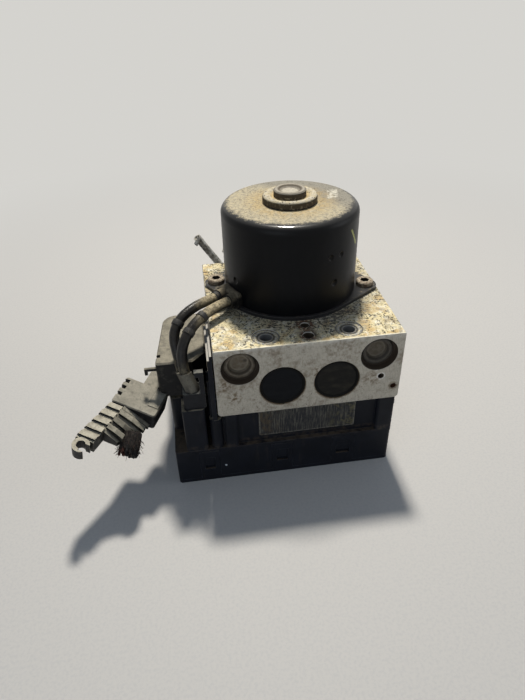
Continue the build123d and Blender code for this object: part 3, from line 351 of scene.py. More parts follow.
class Air(Finish):
    # The world's nodes, by the same methods
    def __init__(self, name):
        bpy.context.scene.world = bpy.data.worlds.new(name)
        bpy.context.scene.world.use_nodes = True
        self.tree = bpy.context.scene.world.node_tree
        self.tree.nodes.clear()


def addAir(setup):
    air = Air("studioAir")
    light = {"Color": (*setup["air"], 1), "Strength": setup["strength"]}
    lit = air.node("ShaderNodeBackground", {}, light)
    shown = air.node("ShaderNodeBackground", {}, {"Color": (*setup["backdrop"], 1)})
    both = air.node("ShaderNodeMixShader", {}, {0: air.seen(), 1: lit, 2: shown})
    air.node("ShaderNodeOutputWorld", {}, {"Surface": both})


addFloor(floorSetup)
addAir(floorSetup)
print("camera, lamps and floor set")


# Motor leads: two rubber-sleeved cords from the can's grommet down into the boot

leadSetup = {
    "diameter": 5.5,
    "front": {
        "length": 57.3,
        "route": ((-35.6, -9.2, 96.5), (-45.0, -17.2, 98.0), (-53.6, -25.0, 97.0), (-60.2, -31.4, 93.8),
                  (-64.6, -37.4, 89.0), (-65.9, -41.58, 82.97), (-65.0, -44.2, 76.0)),
        "bands": ((-60.9, -32.6, 92.6), (-53.2, -24.6, 97.0)),
    },
    "rear": {
        "length": 59.7,
        "route": ((-40.6, -2.6, 96.5), (-50.6, -10.6, 98.0), (-59.8, -17.4, 97.2), (-66.2, -22.8, 94.0),
                  (-69.4, -28.6, 88.6), (-67.7, -35.38, 80.42), (-66.8, -38.0, 73.45)),
        "bands": ((-66.6, -23.4, 94.0), (-44.0, -5.6, 97.8)),
    },
    "rings": 8, "bandLength": 2.8, "bandWall": 0.35, "bandGap": 0.12, "bandBevel": 0.12, "bandSides": 32,
    "rubber": (0.0045, 0.0045, 0.006), "dust": (0.50, 0.42, 0.27), "grime": (0.15, 0.125, 0.08),
    "tape": (0.004, 0.004, 0.005), "tapeEdge": (0.34, 0.32, 0.27),
}


def leadMaterial(setup):
    finish = Finish("leadRubber")
    tanEnd = finish.x.between(-59, -50)
    settled = finish.up.between(-0.5, 0.5) * (finish.noise(2.6, 3).between(0.30, 0.62) | (tanEnd * 0.8))
    sandy = finish.noise(1.3, 5, 4).between(0.32, 0.62) * (0.35 + 0.65 * tanEnd)
    dust = finish.mix(setup["grime"], setup["dust"], sandy)
    colour = finish.mix(setup["rubber"], dust, settled * (0.04 + 0.96 * tanEnd))
    low = finish.z.below(78, 84)
    colour = finish.mix(colour, dust, low * finish.noise(2.2, 8, 4).between(0.35, 0.6) * 0.45)
    roughness = 0.34 + 0.40 * settled * tanEnd
    dull = {"Specular IOR Level": 0.22}
    return finish.close(colour, roughness, 0.0, finish.noise(0.8, 7, 4), 0.10, constants=dull)


def addLead(name, setup, material, band):
    route, diameter = setup[name]["route"], setup["diameter"]
    lead, middle = strands("motorLead_" + name, [route], diameter / 2, setup["rings"])
    finished(lead, material, "lead_rubber", "motor_lead_" + name)
    bands = []
    for place in setup[name]["bands"]:
        at = min(range(1, len(middle) - 1), key=lambda index: (middle[index] - Vector(place) * mm).length)
        turn = (middle[at + 1] - middle[at - 1]).to_track_quat("Z", "Y").to_matrix().to_4x4()
        bands.append(linked("leadBand_" + name, band.data.copy()))
        bands[-1].data.transform(Matrix.Translation(middle[at]) @ turn)
        finished(bands[-1], band.data.materials[0], "lead_rubber")


def bandMaterial(setup):
    finish = Finish("bandTape")
    weave = finish.noise(0.35, 2, 3)
    dusty = finish.up.between(0.0, 0.9) * finish.noise(1.2, 3, 4).between(0.50, 0.68)
    colour = finish.mix(setup["tape"], setup["grime"], dusty * 0.5)
    colour = finish.mix(colour, setup["tapeEdge"], finish.edges(0.25, 0.02, 0.2) * 0.8)
    return finish.close(colour, 0.55 + 0.2 * weave, 0.0, weave, 0.06)


def leadBand(setup):
    # A wrap of tape, made once at the origin and copied to its places
    half = setup["bandLength"] / 2
    inner = setup["diameter"] / 2 + setup["bandGap"]
    band = sleeve("leadBand", inner, (0, 0, -half), (0, 0, half), setup["bandSides"])
    wall = {"thickness": setup["bandWall"] * mm, "offset": 1.0}
    applied(band, ("SOLIDIFY", wall), ("BEVEL", {"width": setup["bandBevel"] * mm, "segments": 2}))
    band.data.materials.append(bandMaterial(setup))
    return band


leadRubber = leadMaterial(leadSetup)
band = leadBand(leadSetup)
for leadName in ("front", "rear"):
    addLead(leadName, leadSetup, leadRubber, band)
bpy.data.objects.remove(band)
print("leads laid")


# Hydraulic block: sawn and machined aluminium, its top under cream dust with dark pits

blockLook = {
    "metal": (0.51, 0.478, 0.410), "shade": (0.27, 0.243, 0.195), "stain": (0.15, 0.105, 0.060),
    "clean": (0.34, 0.36, 0.375), "turned": (0.15, 0.155, 0.16),
    "cream": (0.72, 0.62, 0.37), "pale": (0.80, 0.76, 0.62), "ochre": (0.54, 0.37, 0.15),
    "pit": (0.020, 0.016, 0.012), "oilAndShadow": (0.045, 0.043, 0.040), "grime": (0.040, 0.028, 0.018),
    "rust": (0.075, 0.026, 0.010), "bronze": (0.20, 0.135, 0.075), "scratch": (0.74, 0.73, 0.70),
    "spotFaces": ((-22, -40), (22, -40)), "bleedHoles": ((0, -32.5), (0, -42.2)),
    "oilyPatches": ((24, -19), (15, -28)),
    "scuffs": ((-46.8, 67.6), (-40.4, 59.9), (-43.3, 72.4), (-7.1, 64.7), (4.1, 71.3), (34.1, 63.1)),
    "scratches": ((40.0, 70.5), (37.4, 68.8)), "burr": (39.0, 63.9), "rustyHole": (46.6, 56.2),
    "capBores": ((-14.7, 64.3), (14.7, 64.3)),
}


def blockMaterial(look):
    finish = Finish("blockAluminium")
    top = finish.up.between(0.5, 0.9) * finish.z.between(90.0, 90.3)
    atFront = finish.y.below(-47, -45)
    # Inside the block's six faces there are only the walls and floors of its bores
    inX = abs(finish.x).below(49.6, 49.8)
    inY = abs(finish.y).below(48.85, 49.05)
    inside = inX * inY * finish.z.between(48.3, 48.5) * finish.z.below(89.9, 90.05)

    # Bare metal, mottled and stained, with the faint marks of the saw
    cloudy = finish.noise(15, 2, 4)
    mottle = finish.noise(2.0, 21, 6)
    fine = finish.noise(0.7, 4, 3)
    lines = finish.noise(1.0, 9, 2, (1.6, 1.6, 0.35))
    shaded = (mottle + 0.4 * (cloudy - 0.5)).between(0.38, 0.78)
    colour = finish.mix(look["metal"], look["shade"], shaded * 0.55)
    colour = finish.mix(colour, look["shade"], (fine * 0.5 + lines * 0.5).between(0.46, 0.62) * 0.45)
    colour = finish.mix(colour, look["stain"], (cloudy + 0.5 * (mottle - 0.5)).between(0.50, 0.76) * 0.55)
    worn = finish.noise(2.2, 11, 5).between(0.44, 0.60)
    for x, z in look["scuffs"]:
        scuffed = finish.near((x, 0, z), 3.6, 2.8, acrossFront) * worn
        colour = finish.mix(colour, look["stain"], scuffed * atFront)
    for x, z in look["scratches"]:
        line = abs((finish.x - x) - 1.5 * (finish.z - z)).between(0.1, 0.5)
        line = (1 - line) * finish.near((x, 0, z), 2.0, 0.8, acrossFront)
        colour = finish.mix(colour, look["scratch"], line * atFront)
    low = finish.z.below(50, 76)
    nicks = finish.noise(0.8, 12, 3).between(0.60, 0.68) * (0.35 + 0.65 * low) * cloudy.between(0.34, 0.52)
    colour = finish.mix(colour, look["grime"], nicks * 0.85)
    underTop = finish.z.between(87.5, 90.4) * finish.noise(3, 22, 4).between(0.35, 0.6)
    colour = finish.mix(colour, look["scratch"], underTop * 0.5)
    # A rubbed ring of light metal shows round the lower half of each cap's bore
    for x, z in look["capBores"]:
        ring = finish.away((x, 0, z), acrossFront).ridge(12.75, 0.15, 0.45)
        ring = ring * finish.z.below(z - 6, z + 2) * finish.noise(2.5, 25, 3).between(0.35, 0.5)
        colour = finish.mix(colour, look["bronze"], ring * atFront * 0.8)

    # Dust on top: cream with ochre blotches and pits, denser with pits beside the motor, where it is also
    # painted greyer and darker as the can's cast shadow, mixed with oily patches
    beside = 1 - finish.away(motorAxis, upright).between(40, 60)
    dust = finish.mix(look["pale"], look["cream"], finish.noise(3, 6, 6).between(0.34, 0.56))
    dust = finish.mix(dust, look["ochre"], finish.noise(8, 5, 6).between(0.50, 0.64) * 0.75)
    blotches = finish.noise(3.5, 23, 6).between(0.50, 0.62) * 0.6
    # Painted shadow: near the motor the dust is mixed towards the shade colour, standing for the can's cast
    # shadow on the block's top
    dust = finish.mix(dust, look["shade"], (beside * 0.45) | blotches)
    crumbs = finish.noise(1.05, 7, 4) + 0.35 * (finish.noise(8, 8, 5) - 0.5) + 0.06 * beside
    pits = crumbs.between(0.565, 0.615)
    dust = finish.mix(dust, look["pit"], pits * 0.92)
    dust = finish.mix(dust, look["pit"], finish.noise(0.42, 13, 2).between(0.60, 0.68) * 0.7)
    # This mask is partly painted shadow, the ring round the motor, and partly real oily patches
    oilAndShadow = beside * 0.35
    for x, y in look["oilyPatches"]:
        oilAndShadow = oilAndShadow | finish.near((x, y, 0), 8, 6, upright)
    dust = finish.mix(dust, look["oilAndShadow"], oilAndShadow * finish.noise(2.0, 14, 5).between(0.36, 0.58) * 0.9)
    front = finish.y.below(-48.9, -47.8) * finish.noise(2, 24, 3).between(0.30, 0.45)
    dust = finish.mix(dust, look["pale"], front * 0.85)
    for x, y in look["bleedHoles"]:
        smudge = finish.near((x, y, 0), 5.2, 2.0, upright) * finish.noise(1.2, 16, 3).between(0.33, 0.48)
        sludge = finish.mix(look["rust"], look["pit"], finish.noise(1.5, 27).between(0.4, 0.6))
        dust = finish.mix(dust, sludge, smudge)
    colour = finish.mix(colour, dust, top)

    # Grime inside every bore, bronze where a bore meets the open air, bluish metal in the two mounting holes
    bore = finish.mix(look["grime"], look["bronze"], finish.y.below(-49.2, -48.5) * 0.8)
    x, z = look["rustyHole"]
    bore = finish.mix(bore, look["rust"], finish.near((x, 0, z), 3.0, 0.5, acrossFront) * atFront)
    colour = finish.mix(colour, bore, inside)
    spread = finish.near((x, 0, z), 2.6, 1.2, acrossFront) * (1 - inside) * atFront
    colour = finish.mix(colour, look["stain"], spread * finish.noise(1.2, 28, 3).between(0.3, 0.5))
    x, z = look["burr"]
    burr = finish.away((x, 0, z), acrossFront).ridge(2.1, 0.1, 0.5)
    burr = burr * (1 - inside) * atFront * finish.noise(1.5, 20).between(0.35, 0.55)
    colour = finish.mix(colour, look["scratch"], burr)
    rubbed = finish.edges(0.5) * (1 - inside)
    colour = finish.mix(colour, look["scratch"], rubbed * 0.5)
    # The faces turned round the two mounting holes, and the metal down inside them
    for x, y in look["spotFaces"]:
        reach = finish.away((x, y, 0), upright)
        rings = (reach * 4.2).sine() * 0.5 + 0.5
        face = finish.mix(look["clean"], look["turned"], rings.between(0.2, 0.8))
        face = finish.mix(face, look["shade"], finish.noise(0.9, 18, 4).between(0.42, 0.62) * 0.6)
        dusted = finish.noise(1.1, 29, 5).between(0.44, 0.62) * reach.between(2, 6)
        face = finish.mix(face, look["cream"], dusted * 0.7)
        face = finish.mix(face, look["pit"], finish.noise(1.3, 17 + x, 4).between(0.54, 0.64) * 0.7)
        face = finish.mix(face, look["pit"], reach.ridge(4.3, 0.2, 0.8) * 0.9)
        face = finish.mix(face, look["pit"], reach.ridge(7.1, 0.15, 0.6) * 0.75)
        turned = reach.below(7.3, 7.7) * finish.z.between(87.5, 88.0) * finish.up.between(0.4, 0.8)
        colour = finish.mix(colour, face, turned)
        wall = reach.below(3.9, 4.1) * finish.z.between(80, 88) * finish.up.below(0.4, 0.8)
        colour = finish.mix(colour, look["clean"], wall * 0.35)

    metallic = (1 - inside) * (0.30 - 0.30 * top)
    roughness = 0.55 + 0.20 * cloudy + 0.20 * top
    height = top * (1 - pits) * 0.8 + lines * 0.15 + mottle * 0.25 + fine * 0.2
    return finish.close(colour, roughness, metallic, height, 0.14, 0.3)


dress(blockMaterial(blockLook), "valve_block")


# The two round caps, and the turned plugs in their recesses

capLook = {
    "black": {"base": (0.0035, 0.0042, 0.006), "smudge": (0.008, 0.009, 0.011), "centre": (-14.7, 0, 64.3)},
    "brown": {"base": (0.011, 0.0105, 0.010), "smudge": (0.030, 0.027, 0.021), "centre": (14.7, 0, 64.3)},
    "groove": (0.002, 0.002, 0.002), "rim": (0.16, 0.115, 0.065),
}


def capMaterial(name, look, shade):
    finish = Finish(name)
    away = finish.away(shade["centre"], acrossFront)
    smear = finish.noise(6, 3, 5, (0.6, 1, 1.4))
    colour = finish.mix(shade["base"], shade["smudge"], smear.between(0.42, 0.75))
    colour = finish.mix(colour, shade["smudge"], finish.noise(0.7, 6, 2).between(0.62, 0.72) * 0.6)
    colour = finish.mix(colour, look["groove"], away.between(10.4, 11.0) * away.below(11.9, 12.2))
    colour = finish.mix(colour, look["rim"], away.between(12.1, 12.35) * finish.noise(2, 8).between(0.3, 0.5))
    dull = {"Specular IOR Level": 0.14}
    return finish.close(colour, 0.6 + 0.2 * smear, 0.0, finish.noise(1.0, 9), 0.03, constants=dull)


dress(capMaterial("capBlack", capLook, capLook["black"]), "accumulator_cap_left")
dress(capMaterial("capBrown", capLook, capLook["brown"]), "accumulator_cap_right")

damperLook = {
    "metal": (0.215, 0.185, 0.14), "light": (0.33, 0.29, 0.22), "dust": (0.15, 0.12, 0.08),
    "grime": (0.045, 0.034, 0.022), "soot": (0.028, 0.027, 0.026), "stainPlace": (-33.6, -44.0, 79.4),
    "aside": 36.8, "height": 78.3,
}


def damperMaterial(name, look, x, dirt):
    finish = Finish(name)
    away = finish.away((x, 0, look["height"]), acrossFront)
    rings = (away * 9.0).sine() * 0.5 + 0.5
    colour = finish.mix(look["dust"], look["metal"], finish.noise(2, 3, 5).between(0.35, 0.65))
    colour = finish.mix(colour, look["light"], away.ridge(4.6, 0.2, 0.8) * 0.5)
    colour = finish.mix(colour, look["grime"], rings * 0.25)
    colour = finish.mix(colour, look["grime"], away.ridge(5.9, 0.15, 0.6) * 0.85)
    caked = 0.35 + 0.5 * finish.noise(3, 9, 4).between(0.3, 0.6)
    colour = finish.mix(colour, look["grime"], away.between(6.6, 7.6) * caked)
    colour = finish.mix(colour, look["grime"], finish.near(look["stainPlace"], 1.3, 0.6) * 0.85)
    colour = finish.mix(colour, look["soot"], dirt * (0.55 + 0.45 * away.between(4.5, 6.5)))
    return finish.close(colour, 0.66, 0.15, rings * 0.5 + finish.noise(0.8, 7) * 0.5, 0.06)


dress(damperMaterial("damperLeft", damperLook, -damperLook["aside"], 0.15), "damper_plug_left")
dress(damperMaterial("damperRight", damperLook, damperLook["aside"], 0.7), "damper_plug_right")


# Pump motor: satin black can, dust on its roof, a worn nose

canLook = {
    "paint": (0.0022, 0.0026, 0.0038), "fade": (0.006, 0.0065, 0.008), "tan": (0.50, 0.435, 0.30),
    "grey": (0.27, 0.255, 0.215), "ochre": (0.48, 0.335, 0.13), "crumb": (0.070, 0.055, 0.038),
    "bare": (0.62, 0.59, 0.50), "nose": (0.25, 0.225, 0.185), "noseLight": (0.52, 0.48, 0.40),
    "streak": (0.50, 0.50, 0.16), "rust": (0.085, 0.050, 0.026), "holeShade": (0.0008, 0.0008, 0.001),
    "remnant": (25.0, 17.3), "streakEnds": ((28.0, -13.8, 133.6), (32.2, -8.1, 123.5)),
    "crimps": ((-66.1, 123.2), (-55.4, 123.3), (-61.5, 108.1), (-151.9, 106.5)),  # turn in degrees, height
}


def canMaterial(look):
    finish = Finish("canPaint")
    away = finish.away(motorAxis, upright)
    flat = finish.up.between(0.55, 0.97)
    roof = flat * finish.z.between(140.5, 141.9)
    mottle = finish.noise(6, 2, 6)
    grain = finish.noise(0.8, 3, 5)
    faded = finish.noise(9, 4, 4, (1, 1, 0.4)).between(0.45, 0.8) * 0.6
    paint = finish.mix(look["paint"], look["fade"], faded)
    scuffs = finish.noise(2.4, 6, 5, (1, 1, 2)).between(0.68, 0.78) * finish.z.below(96, 104)
    paint = finish.mix(paint, look["rust"], scuffs * 0.6)
    # Painted shade: each crimp is painted near black with a ragged edge, standing for the dark inside of a
    # hole
    for turn, z in look["crimps"]:
        x, y = math.cos(math.radians(turn)) * canRadius, math.sin(math.radians(turn)) * canRadius
        raggedHole = finish.away((x, y + motorAxis[1], z)) + 0.9 * (finish.noise(1.0, 21, 3) - 0.5)
        paint = finish.mix(paint, look["holeShade"], 1 - raggedHole.between(1.5, 2.3))

    # Roof dust: tan at the front and left, greyer at the back right, ochre round the boss, crumbs all over
    backRight = ((finish.x + finish.y - motorAxis[1]) / 30 + mottle - 0.5).between(-0.2, 1.0)
    dust = finish.mix(look["tan"], look["grey"], backRight)
    dust = finish.mix(dust, look["grey"], finish.noise(1.8, 19, 6).between(0.40, 0.64) * 0.7)
    ochreRing = away.between(12.5, 14) * away.below(17, 29)
    ochreRing = ochreRing * finish.noise(3, 8, 5).between(0.30, 0.58)
    dust = finish.mix(dust, look["ochre"], ochreRing * 0.5)
    dust = finish.mix(dust, look["crumb"], (grain + 0.25 * (mottle - 0.5)).between(0.54, 0.64) * 0.65)
    dust = finish.mix(dust, look["crumb"], finish.noise(0.45, 23, 2).between(0.62, 0.70) * 0.7)
    # The dust thins out towards the shoulder, in blotches, and leaves the shoulder's own shine
    toFront = (motorAxis[1] - finish.y) / canRadius
    thin = away / canRadius + 0.20 * (finish.noise(3, 9, 6) - 0.5) + 0.16 * (grain - 0.5) + 0.065 * toFront
    cover = thin.below(0.86, 0.95)
    colour = finish.mix(paint, dust, roof * cover * 0.95)
    # Grey dust film on the shoulder where the roof dust thins, kept to the back of the shoulder that faces
    # the key lamp, so it is partly painted light there
    film = flat * away.between(28, 33) * (0.35 + 0.65 * finish.noise(1.2, 24, 5).between(0.45, 0.62))
    colour = finish.mix(colour, look["grey"], film * (1 - cover) * finish.back.between(-0.1, 0.5) * 0.45)
    nx, ny = look["remnant"]
    patch = abs((finish.x - nx) - 0.22 * (finish.y - ny)).below(2.4, 3.4)
    patch = patch * finish.y.ridge(ny, 6.0, 7.0) * finish.noise(1.8, 11, 5).between(0.42, 0.54)
    colour = finish.mix(colour, look["bare"], patch * roof * 0.75)

    # Boss and nose stand above the roof
    boss = finish.z.between(142.4, 142.9)
    side = finish.mix(look["crumb"], look["tan"], finish.noise(1.6, 12, 4).between(0.50, 0.78) * 0.6)
    rim = finish.mix(look["tan"], look["noseLight"], finish.noise(2.5, 13, 4).between(0.4, 0.7))
    rim = finish.mix(rim, look["ochre"], away.below(9.2, 11.6) * 0.7)
    rim = finish.mix(rim, look["crumb"], finish.noise(1.2, 14, 4).between(0.54, 0.66) * 0.9)
    colour = finish.mix(colour, finish.mix(side, rim, finish.up.between(0.25, 0.75)), boss)
    nose = finish.z.between(146.6, 146.9) * away.below(8.9, 9.2)
    noseTop = finish.mix(look["nose"], look["noseLight"], away.below(3.6, 5.0) * 0.8)
    noseTop = finish.mix(noseTop, look["crumb"], away.ridge(5.9, 0.2, 0.8) * 0.7)
    noseTop = finish.mix(noseTop, look["noseLight"], away.ridge(7.4, 0.2, 0.7) * 0.4)
    noseTop = finish.mix(noseTop, look["crumb"], finish.noise(0.9, 22, 4).between(0.54, 0.68) * 0.6)
    colour = finish.mix(colour, finish.mix(look["crumb"], noseTop, finish.up.between(0.1, 0.6)), nose)

    # One ragged streak of yellow down the right front of the can
    (ax, ay, az), (bx, by, bz) = look["streakEnds"]
    down = (finish.z - bz) / (az - bz)
    across = {0: finish.x - (bx + (ax - bx) * down), 1: finish.y - (by + (ay - by) * down)}
    offLine = finish.node("ShaderNodeCombineXYZ", {}, across)
    reach = finish.node("ShaderNodeVectorMath", {"operation": "LENGTH"}, {0: offLine}, "Value")
    streak = 1 - (reach + 1.8 * (finish.noise(1.3, 15, 5) - 0.5)).between(0.7, 1.1)
    streak = streak * down.between(-0.1, 0.1) * down.below(0.9, 1.1)
    colour = finish.mix(colour, look["streak"], streak * 0.8)
    dirty = (roof * cover) | boss
    roughness = 0.30 + 0.10 * finish.noise(5, 16) + 0.45 * dirty
    height = dirty * grain * 0.9 + finish.noise(11, 17) * 0.12
    shoulder = finish.up.between(0.62, 0.85) * (1 - dirty) * finish.z.between(137, 139)
    shine = {"Specular IOR Level": 0.13, "Coat Weight": shoulder * 0.55, "Coat Roughness": 0.12}
    return finish.close(colour, roughness, 0.0, height, 0.16, 0.4, shine)


dress(canMaterial(canLook), "motor_can")

flangeLook = {"steel": (0.018, 0.018, 0.020), "dust": (0.22, 0.18, 0.11), "edge": (0.12, 0.125, 0.14)}


def flangeMaterial(look):
    finish = Finish("flangeSteel")
    outer = 0.25 + 0.75 * finish.away(motorAxis, upright).between(39.6, 42)
    dust = finish.up.between(0.5, 0.9) * finish.noise(2.5, 2, 5).between(0.50, 0.72) * outer
    colour = finish.mix(look["steel"], look["dust"], dust)
    colour = finish.mix(colour, look["edge"], finish.edges(0.4) * 0.6)
    return finish.close(colour, 0.40 + 0.3 * dust, 0.2, finish.noise(1.2, 4), 0.05)


dress(flangeMaterial(flangeLook), "motor_flange")

screwLook = {
    "plate": (0.21, 0.175, 0.13), "rust": (0.10, 0.062, 0.040), "dust": (0.46, 0.40, 0.30),
    "hole": (0.012, 0.009, 0.007), "places": ((-42.66, 20.96), (42.66, 2.04)),
}


def screwMaterial(look):
    finish = Finish("motorScrew")
    colour = finish.mix(look["plate"], look["rust"], finish.noise(1.6, 2, 4).between(0.4, 0.65))
    dust = finish.up.between(0.4, 0.9) * finish.noise(1.3, 3, 4).between(0.42, 0.62)
    colour = finish.mix(colour, look["dust"], dust * 0.8)
    for x, y in look["places"]:
        sunk = finish.near((x, y, 0), 2.75, 0.25, upright) * finish.z.below(94.6, 95.0)
        colour = finish.mix(colour, look["hole"], sunk * finish.z.between(92.6, 92.9))
    return finish.close(colour, 0.6 + 0.2 * dust, 0.45 - 0.4 * dust, finish.noise(0.7, 4), 0.08)


dress(screwMaterial(screwLook), "motor_screws")
print("block and motor dressed")


# Brake pipes and their nuts: zinc plate gone dull, dusty on top

pipeLook = {
    "zinc": (0.42, 0.42, 0.40), "dull": (0.13, 0.125, 0.115), "dust": (0.62, 0.58, 0.48),
    "rust": (0.16, 0.08, 0.04), "mouth": (-48.6, 64.0, 96.6), "black": (0.004, 0.004, 0.004),
    "tornFoot": (-48.6, 65.4, 101.8), "tornTip": (-51.4, 65.2, 96.9), "tornRadius": 2.3, "tornWall": 0.35,
    "tornSide": (-0.85, -0.1, 0.52), "tornWidth": 0.9, "tornRagged": 0.25, "tornSides": 20, "tornCuts": 3,
}


def pipeMaterial(name, look, rusty):
    finish = Finish(name)
    colour = finish.mix(look["zinc"], look["dull"], finish.noise(3.2, 2, 5).between(0.38, 0.66))
    rust = finish.noise(2.2, 3, 4).between(0.66 - rusty, 0.78 - rusty)
    colour = finish.mix(colour, look["rust"], rust * 0.8)
    dust = finish.up.between(0.1, 0.9) * finish.noise(2, 4, 4).between(0.38, 0.62) * 0.7
    colour = finish.mix(colour, look["dust"], dust)
    colour = finish.mix(colour, look["dull"], finish.noise(1.1, 6, 5).between(0.52, 0.62) * 0.7)
    # Painted shade: near the open end, faces turned left and down are painted black, standing for the dark
    # inside and underside of the torn pipe
    shadedMouth = finish.near(look["mouth"], 4.2, 1.0) * finish.right.below(-0.6, -0.1)
    shadedMouth = shadedMouth * finish.up.below(0.2, 0.6)
    colour = finish.mix(colour, look["black"], shadedMouth)
    metallic = (1 - shadedMouth) * (0.55 - 0.5 * dust)
    return finish.close(colour, 0.42 + 0.35 * dust, metallic, finish.noise(0.9, 5), 0.05)


dress(pipeMaterial("pipeZinc", pipeLook, 0.0), "brake_pipe_long", "brake_pipe_short")
dress(pipeMaterial("nutZinc", pipeLook, 0.08), "tube_nuts")


def addTornEnd(look):
    # A scrap of the pipe's own wall, bent back over its open end
    foot, tip = Vector(look["tornFoot"]), Vector(look["tornTip"])
    flap = sleeve("tornFlap", look["tornRadius"], foot, tip, look["tornSides"])
    middle = (foot + tip) / 2 * mm
    outward = Vector(look["tornSide"])
    bpy.ops.object.mode_set(mode="EDIT")
    bpy.ops.mesh.select_mode(type="FACE")
    bpy.ops.mesh.select_all(action="DESELECT")
    bpy.ops.object.mode_set(mode="OBJECT")
    for face in flap.data.polygons:
        face.select = (face.center - middle).dot(outward) < look["tornWidth"] * mm
    bpy.ops.object.mode_set(mode="EDIT")
    bpy.ops.mesh.delete(type="FACE")
    bpy.ops.mesh.select_all(action="SELECT")
    bpy.ops.mesh.subdivide(number_cuts=look["tornCuts"])
    bpy.ops.transform.vertex_random(offset=look["tornRagged"] * mm, seed=3)
    bpy.ops.object.mode_set(mode="OBJECT")
    wall = {"thickness": look["tornWall"] * mm, "offset": 1.0}
    applied(flap, ("SOLIDIFY", wall), ("SUBSURF", {"levels": 1}))
    finished(flap, pipeMaterial("tornZinc", look, 0.0), "plated_steel")


addTornEnd(pipeLook)


# Control unit: black glass-filled moulding, dust on its ledges, painted tan as lit on the high decks and
# brown as shaded low down

unitLook = {
    "plastic": (0.0032, 0.0044, 0.0080), "worn": (0.0075, 0.0095, 0.0155), "dust": (0.085, 0.066, 0.048),
    "tan": (0.36, 0.31, 0.225), "line": (0.060, 0.070, 0.090), "lip": (0.42, 0.40, 0.36), "creepHeight": 25.7,
    "chip": (0.60, 0.65, 0.68), "chipPlace": (-48.1, -49.4, 10.4),
}


def unitMaterial(name, look):
    finish = Finish(name)
    glass = finish.noise(1.1, 2, 4, (1, 1, 0.3))
    worn = (finish.noise(14, 3, 4) + 0.3 * (glass - 0.5)).between(0.35, 0.8)
    colour = finish.mix(look["plastic"], look["worn"], worn)
    streaks = finish.noise(5, 4, 4, (1.6, 1.6, 0.22)).between(0.56, 0.80)
    colour = finish.mix(colour, look["dust"], streaks * 0.14)
    facingUp = finish.up.between(0.4, 0.9)
    settled = facingUp * finish.noise(5, 5, 6).between(0.32, 0.60)
    # Painted light: settled dust takes a lit tan copy above about 45 mm and a shaded brown copy lower down
    lit = finish.z.between(40, 47)
    fence = finish.z.between(80, 84)
    colour = finish.mix(colour, finish.mix(look["dust"], look["tan"], lit), settled * (0.85 - 0.85 * fence))
    colour = finish.mix(colour, look["lip"], facingUp * fence)
    creep = finish.z.ridge(look["creepHeight"], 0.6, 2.8)
    colour = finish.mix(colour, look["dust"], creep * finish.noise(4, 6, 5).between(0.40, 0.7) * 0.5)
    rubbed = finish.edges(0.45) * (0.15 + 0.85 * finish.noise(6, 7).between(0.35, 0.65))
    colour = finish.mix(colour, look["line"], rubbed)
    chip = (finish.away(look["chipPlace"]) + 1.6 * (finish.noise(0.8, 8, 3) - 0.5)).between(0.5, 0.8)
    colour = finish.mix(colour, look["chip"], 1 - chip)
    roughness = 0.46 + 0.14 * glass + 0.35 * settled
    height = glass * 0.5 + settled * 0.5 * finish.noise(0.9, 9)
    return finish.close(colour, roughness, 0.0, height, 0.07, 0.35, {"Specular IOR Level": 0.18})


dress(unitMaterial("unitMoulding", unitLook), "ecu_housing", "ecu_cover")

labelLook = {
    "film": (0.020, 0.021, 0.024), "bright": (0.125, 0.118, 0.098), "brown": (0.080, 0.058, 0.034),
    "yellow": (0.150, 0.130, 0.060), "outline": (0.20, 0.19, 0.16),
    "left": -28, "right": 27, "low": 28.5, "high": 46.3,
}


def labelMaterial(look):
    finish = Finish("labelFilm")
    lines = finish.noise(0.55, 2, 3, (1.0, 1.0, 0.07))
    wide = finish.noise(4, 3, 4, (1.0, 1.0, 0.3))
    worn = finish.noise(0.9, 6, 5)
    colour = finish.mix(look["film"], look["bright"], (lines + 0.4 * (wide - 0.5)).between(0.45, 0.66) * 0.8)
    colour = finish.mix(colour, look["bright"], worn.between(0.56, 0.70) * 0.3)
    brown = finish.noise(2, 4, 5, (1, 1, 0.5)).between(0.40, 0.62)
    brown = brown * finish.x.below(look["left"] + 3, look["left"] + 16)
    colour = finish.mix(colour, look["brown"], brown * 0.8)
    yellow = finish.noise(2.5, 5, 6).between(0.46, 0.66)
    yellow = yellow * finish.x.between(look["right"] - 20, look["right"] - 6)
    colour = finish.mix(colour, look["yellow"], yellow * 0.6)
    colour = finish.mix(colour, look["film"], finish.noise(0.7, 7, 4).between(0.52, 0.66) * 0.5)
    sides = abs(finish.x - (look["left"] + look["right"]) / 2).between(26.6, 27.0)
    ends = abs(finish.z - (look["low"] + look["high"]) / 2).between(8.1, 8.5)
    colour = finish.mix(colour, look["outline"], (sides | ends) * worn.between(0.35, 0.55) * 0.6)
    return finish.close(colour, 0.5 + 0.2 * wide, 0.0, lines, 0.03, constants={"Specular IOR Level": 0.25})


dress(labelMaterial(labelLook), "label_plate")
print("control unit dressed")


# Dusty mouldings and rubber on the left: harness plug, wire cover, hood, motor plug, boot, grommet, stub

